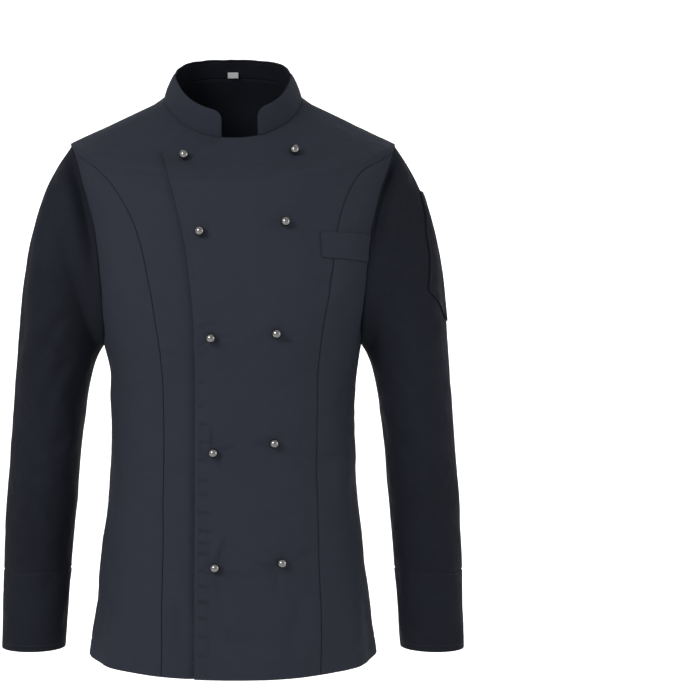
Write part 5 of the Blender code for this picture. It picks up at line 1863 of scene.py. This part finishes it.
def build_stage(scene, stage):
    """A floor that curves up into a backdrop, with soft lights and the camera."""
    far, turn, tall, half = 3.6, 1.0, 4.0, 5.5
    profile = [(-4.2, stage.floor_height), (far - turn, stage.floor_height)]
    for k in range(1, 25):
        angle = math.pi / 2 * k / 24
        rise = stage.floor_height + turn * (1 - math.cos(angle))
        profile.append((far - turn + turn * math.sin(angle), rise))
    profile.append((far, tall))
    vertices = [(x, y, z) for y, z in profile for x in (-half, half)]
    faces = [(2 * k, 2 * k + 1, 2 * k + 3, 2 * k + 2) for k in range(len(profile) - 1)]
    backdrop = mesh_object("pale_backdrop", np.array(vertices), np.array(faces))
    backdrop.data.materials.append(stage_material(tuple(stage.colour), stage.glow))

    add_light("key_light", (-1.28, -1.95, 0.60), (0.0, 0.0, -0.30), stage.key_power, 0.9)
    add_light("fill_light", (2.2, -0.7, -0.1), (0.1, 0.0, -0.35), stage.fill_power, 1.2)
    world = bpy.data.worlds.new("soft_sky")
    world.use_nodes = True
    world.node_tree.nodes["Background"].inputs["Color"].default_value = (1.0, 1.0, 1.0, 1.0)
    world.node_tree.nodes["Background"].inputs["Strength"].default_value = stage.sky
    scene.world = world
    scene.view_settings.view_transform = "Standard"

    camera = bpy.data.objects.new("camera", bpy.data.cameras.new("camera"))
    scene.collection.objects.link(camera)
    camera.location = (0.0, -1.8, -0.315)
    camera.rotation_euler = (math.pi / 2, 0.0, 0.0)
    camera.data.sensor_width = 36.0
    camera.data.lens = 80.64
    camera.data.shift_x = 0.1571
    camera.data.shift_y = 0.0418
    camera.data.dof.use_dof = False
    scene.camera = camera


def add_light(name, place, aim, power, size):
    """A square soft light aimed at a point."""
    data = bpy.data.lights.new(name, "AREA")
    data.energy = power
    data.size = size
    light = bpy.data.objects.new(name, data)
    bpy.context.scene.collection.objects.link(light)
    light.location = place
    light.rotation_euler = (Vector(aim) - Vector(place)).to_track_quat("-Z", "Y").to_euler()


class JACKET_PT_panel(bpy.types.Panel):
    """Shows the jacket's settings and the buttons that make its pieces"""

    bl_idname = "JACKET_PT_panel"
    bl_label = "Chef Jacket"
    bl_space_type = "VIEW_3D"
    bl_region_type = "UI"
    bl_category = "Chef Jacket"

    def draw(self, context):
        layout = self.layout
        for name in SETTINGS:
            group = getattr(context.scene, name)
            box = layout.box()
            box.label(text=SETTINGS[name].__doc__)
            for key in group.bl_rna.properties.keys():
                if key not in ("rna_type", "name"):
                    box.prop(group, key)
        for operator in OPERATORS:
            layout.operator(operator.bl_idname)


SETTINGS = {
    "jacket_cloth": JacketCloth,
    "jacket_stitching": JacketStitching,
    "jacket_studs": JacketStuds,
    "jacket_stage": JacketStage,
}
OPERATORS = [
    JACKET_OT_back,
    JACKET_OT_centre_fronts,
    JACKET_OT_side_fronts,
    JACKET_OT_sleeves,
    JACKET_OT_collar,
    JACKET_OT_pockets,
    JACKET_OT_label,
    JACKET_OT_studs,
    JACKET_OT_stitching,
    JACKET_OT_stage,
]


def register():
    for made in [*SETTINGS.values(), *OPERATORS, JACKET_PT_panel]:
        bpy.utils.register_class(made)
    for name, group in SETTINGS.items():
        setattr(bpy.types.Scene, name, PointerProperty(type=group))


def unregister():
    for name in SETTINGS:
        delattr(bpy.types.Scene, name)
    for made in reversed([*SETTINGS.values(), *OPERATORS, JACKET_PT_panel]):
        bpy.utils.unregister_class(made)


def main():
    """Makes the whole jacket and its stage."""
    register()
    bpy.ops.jacket.back()
    bpy.ops.jacket.centre_fronts()
    bpy.ops.jacket.side_fronts()
    bpy.ops.jacket.sleeves()
    bpy.ops.jacket.collar()
    bpy.ops.jacket.pockets()
    bpy.ops.jacket.label()
    bpy.ops.jacket.studs()
    bpy.ops.jacket.stitching()
    bpy.ops.jacket.stage()


if __name__ == "__main__":
    main()
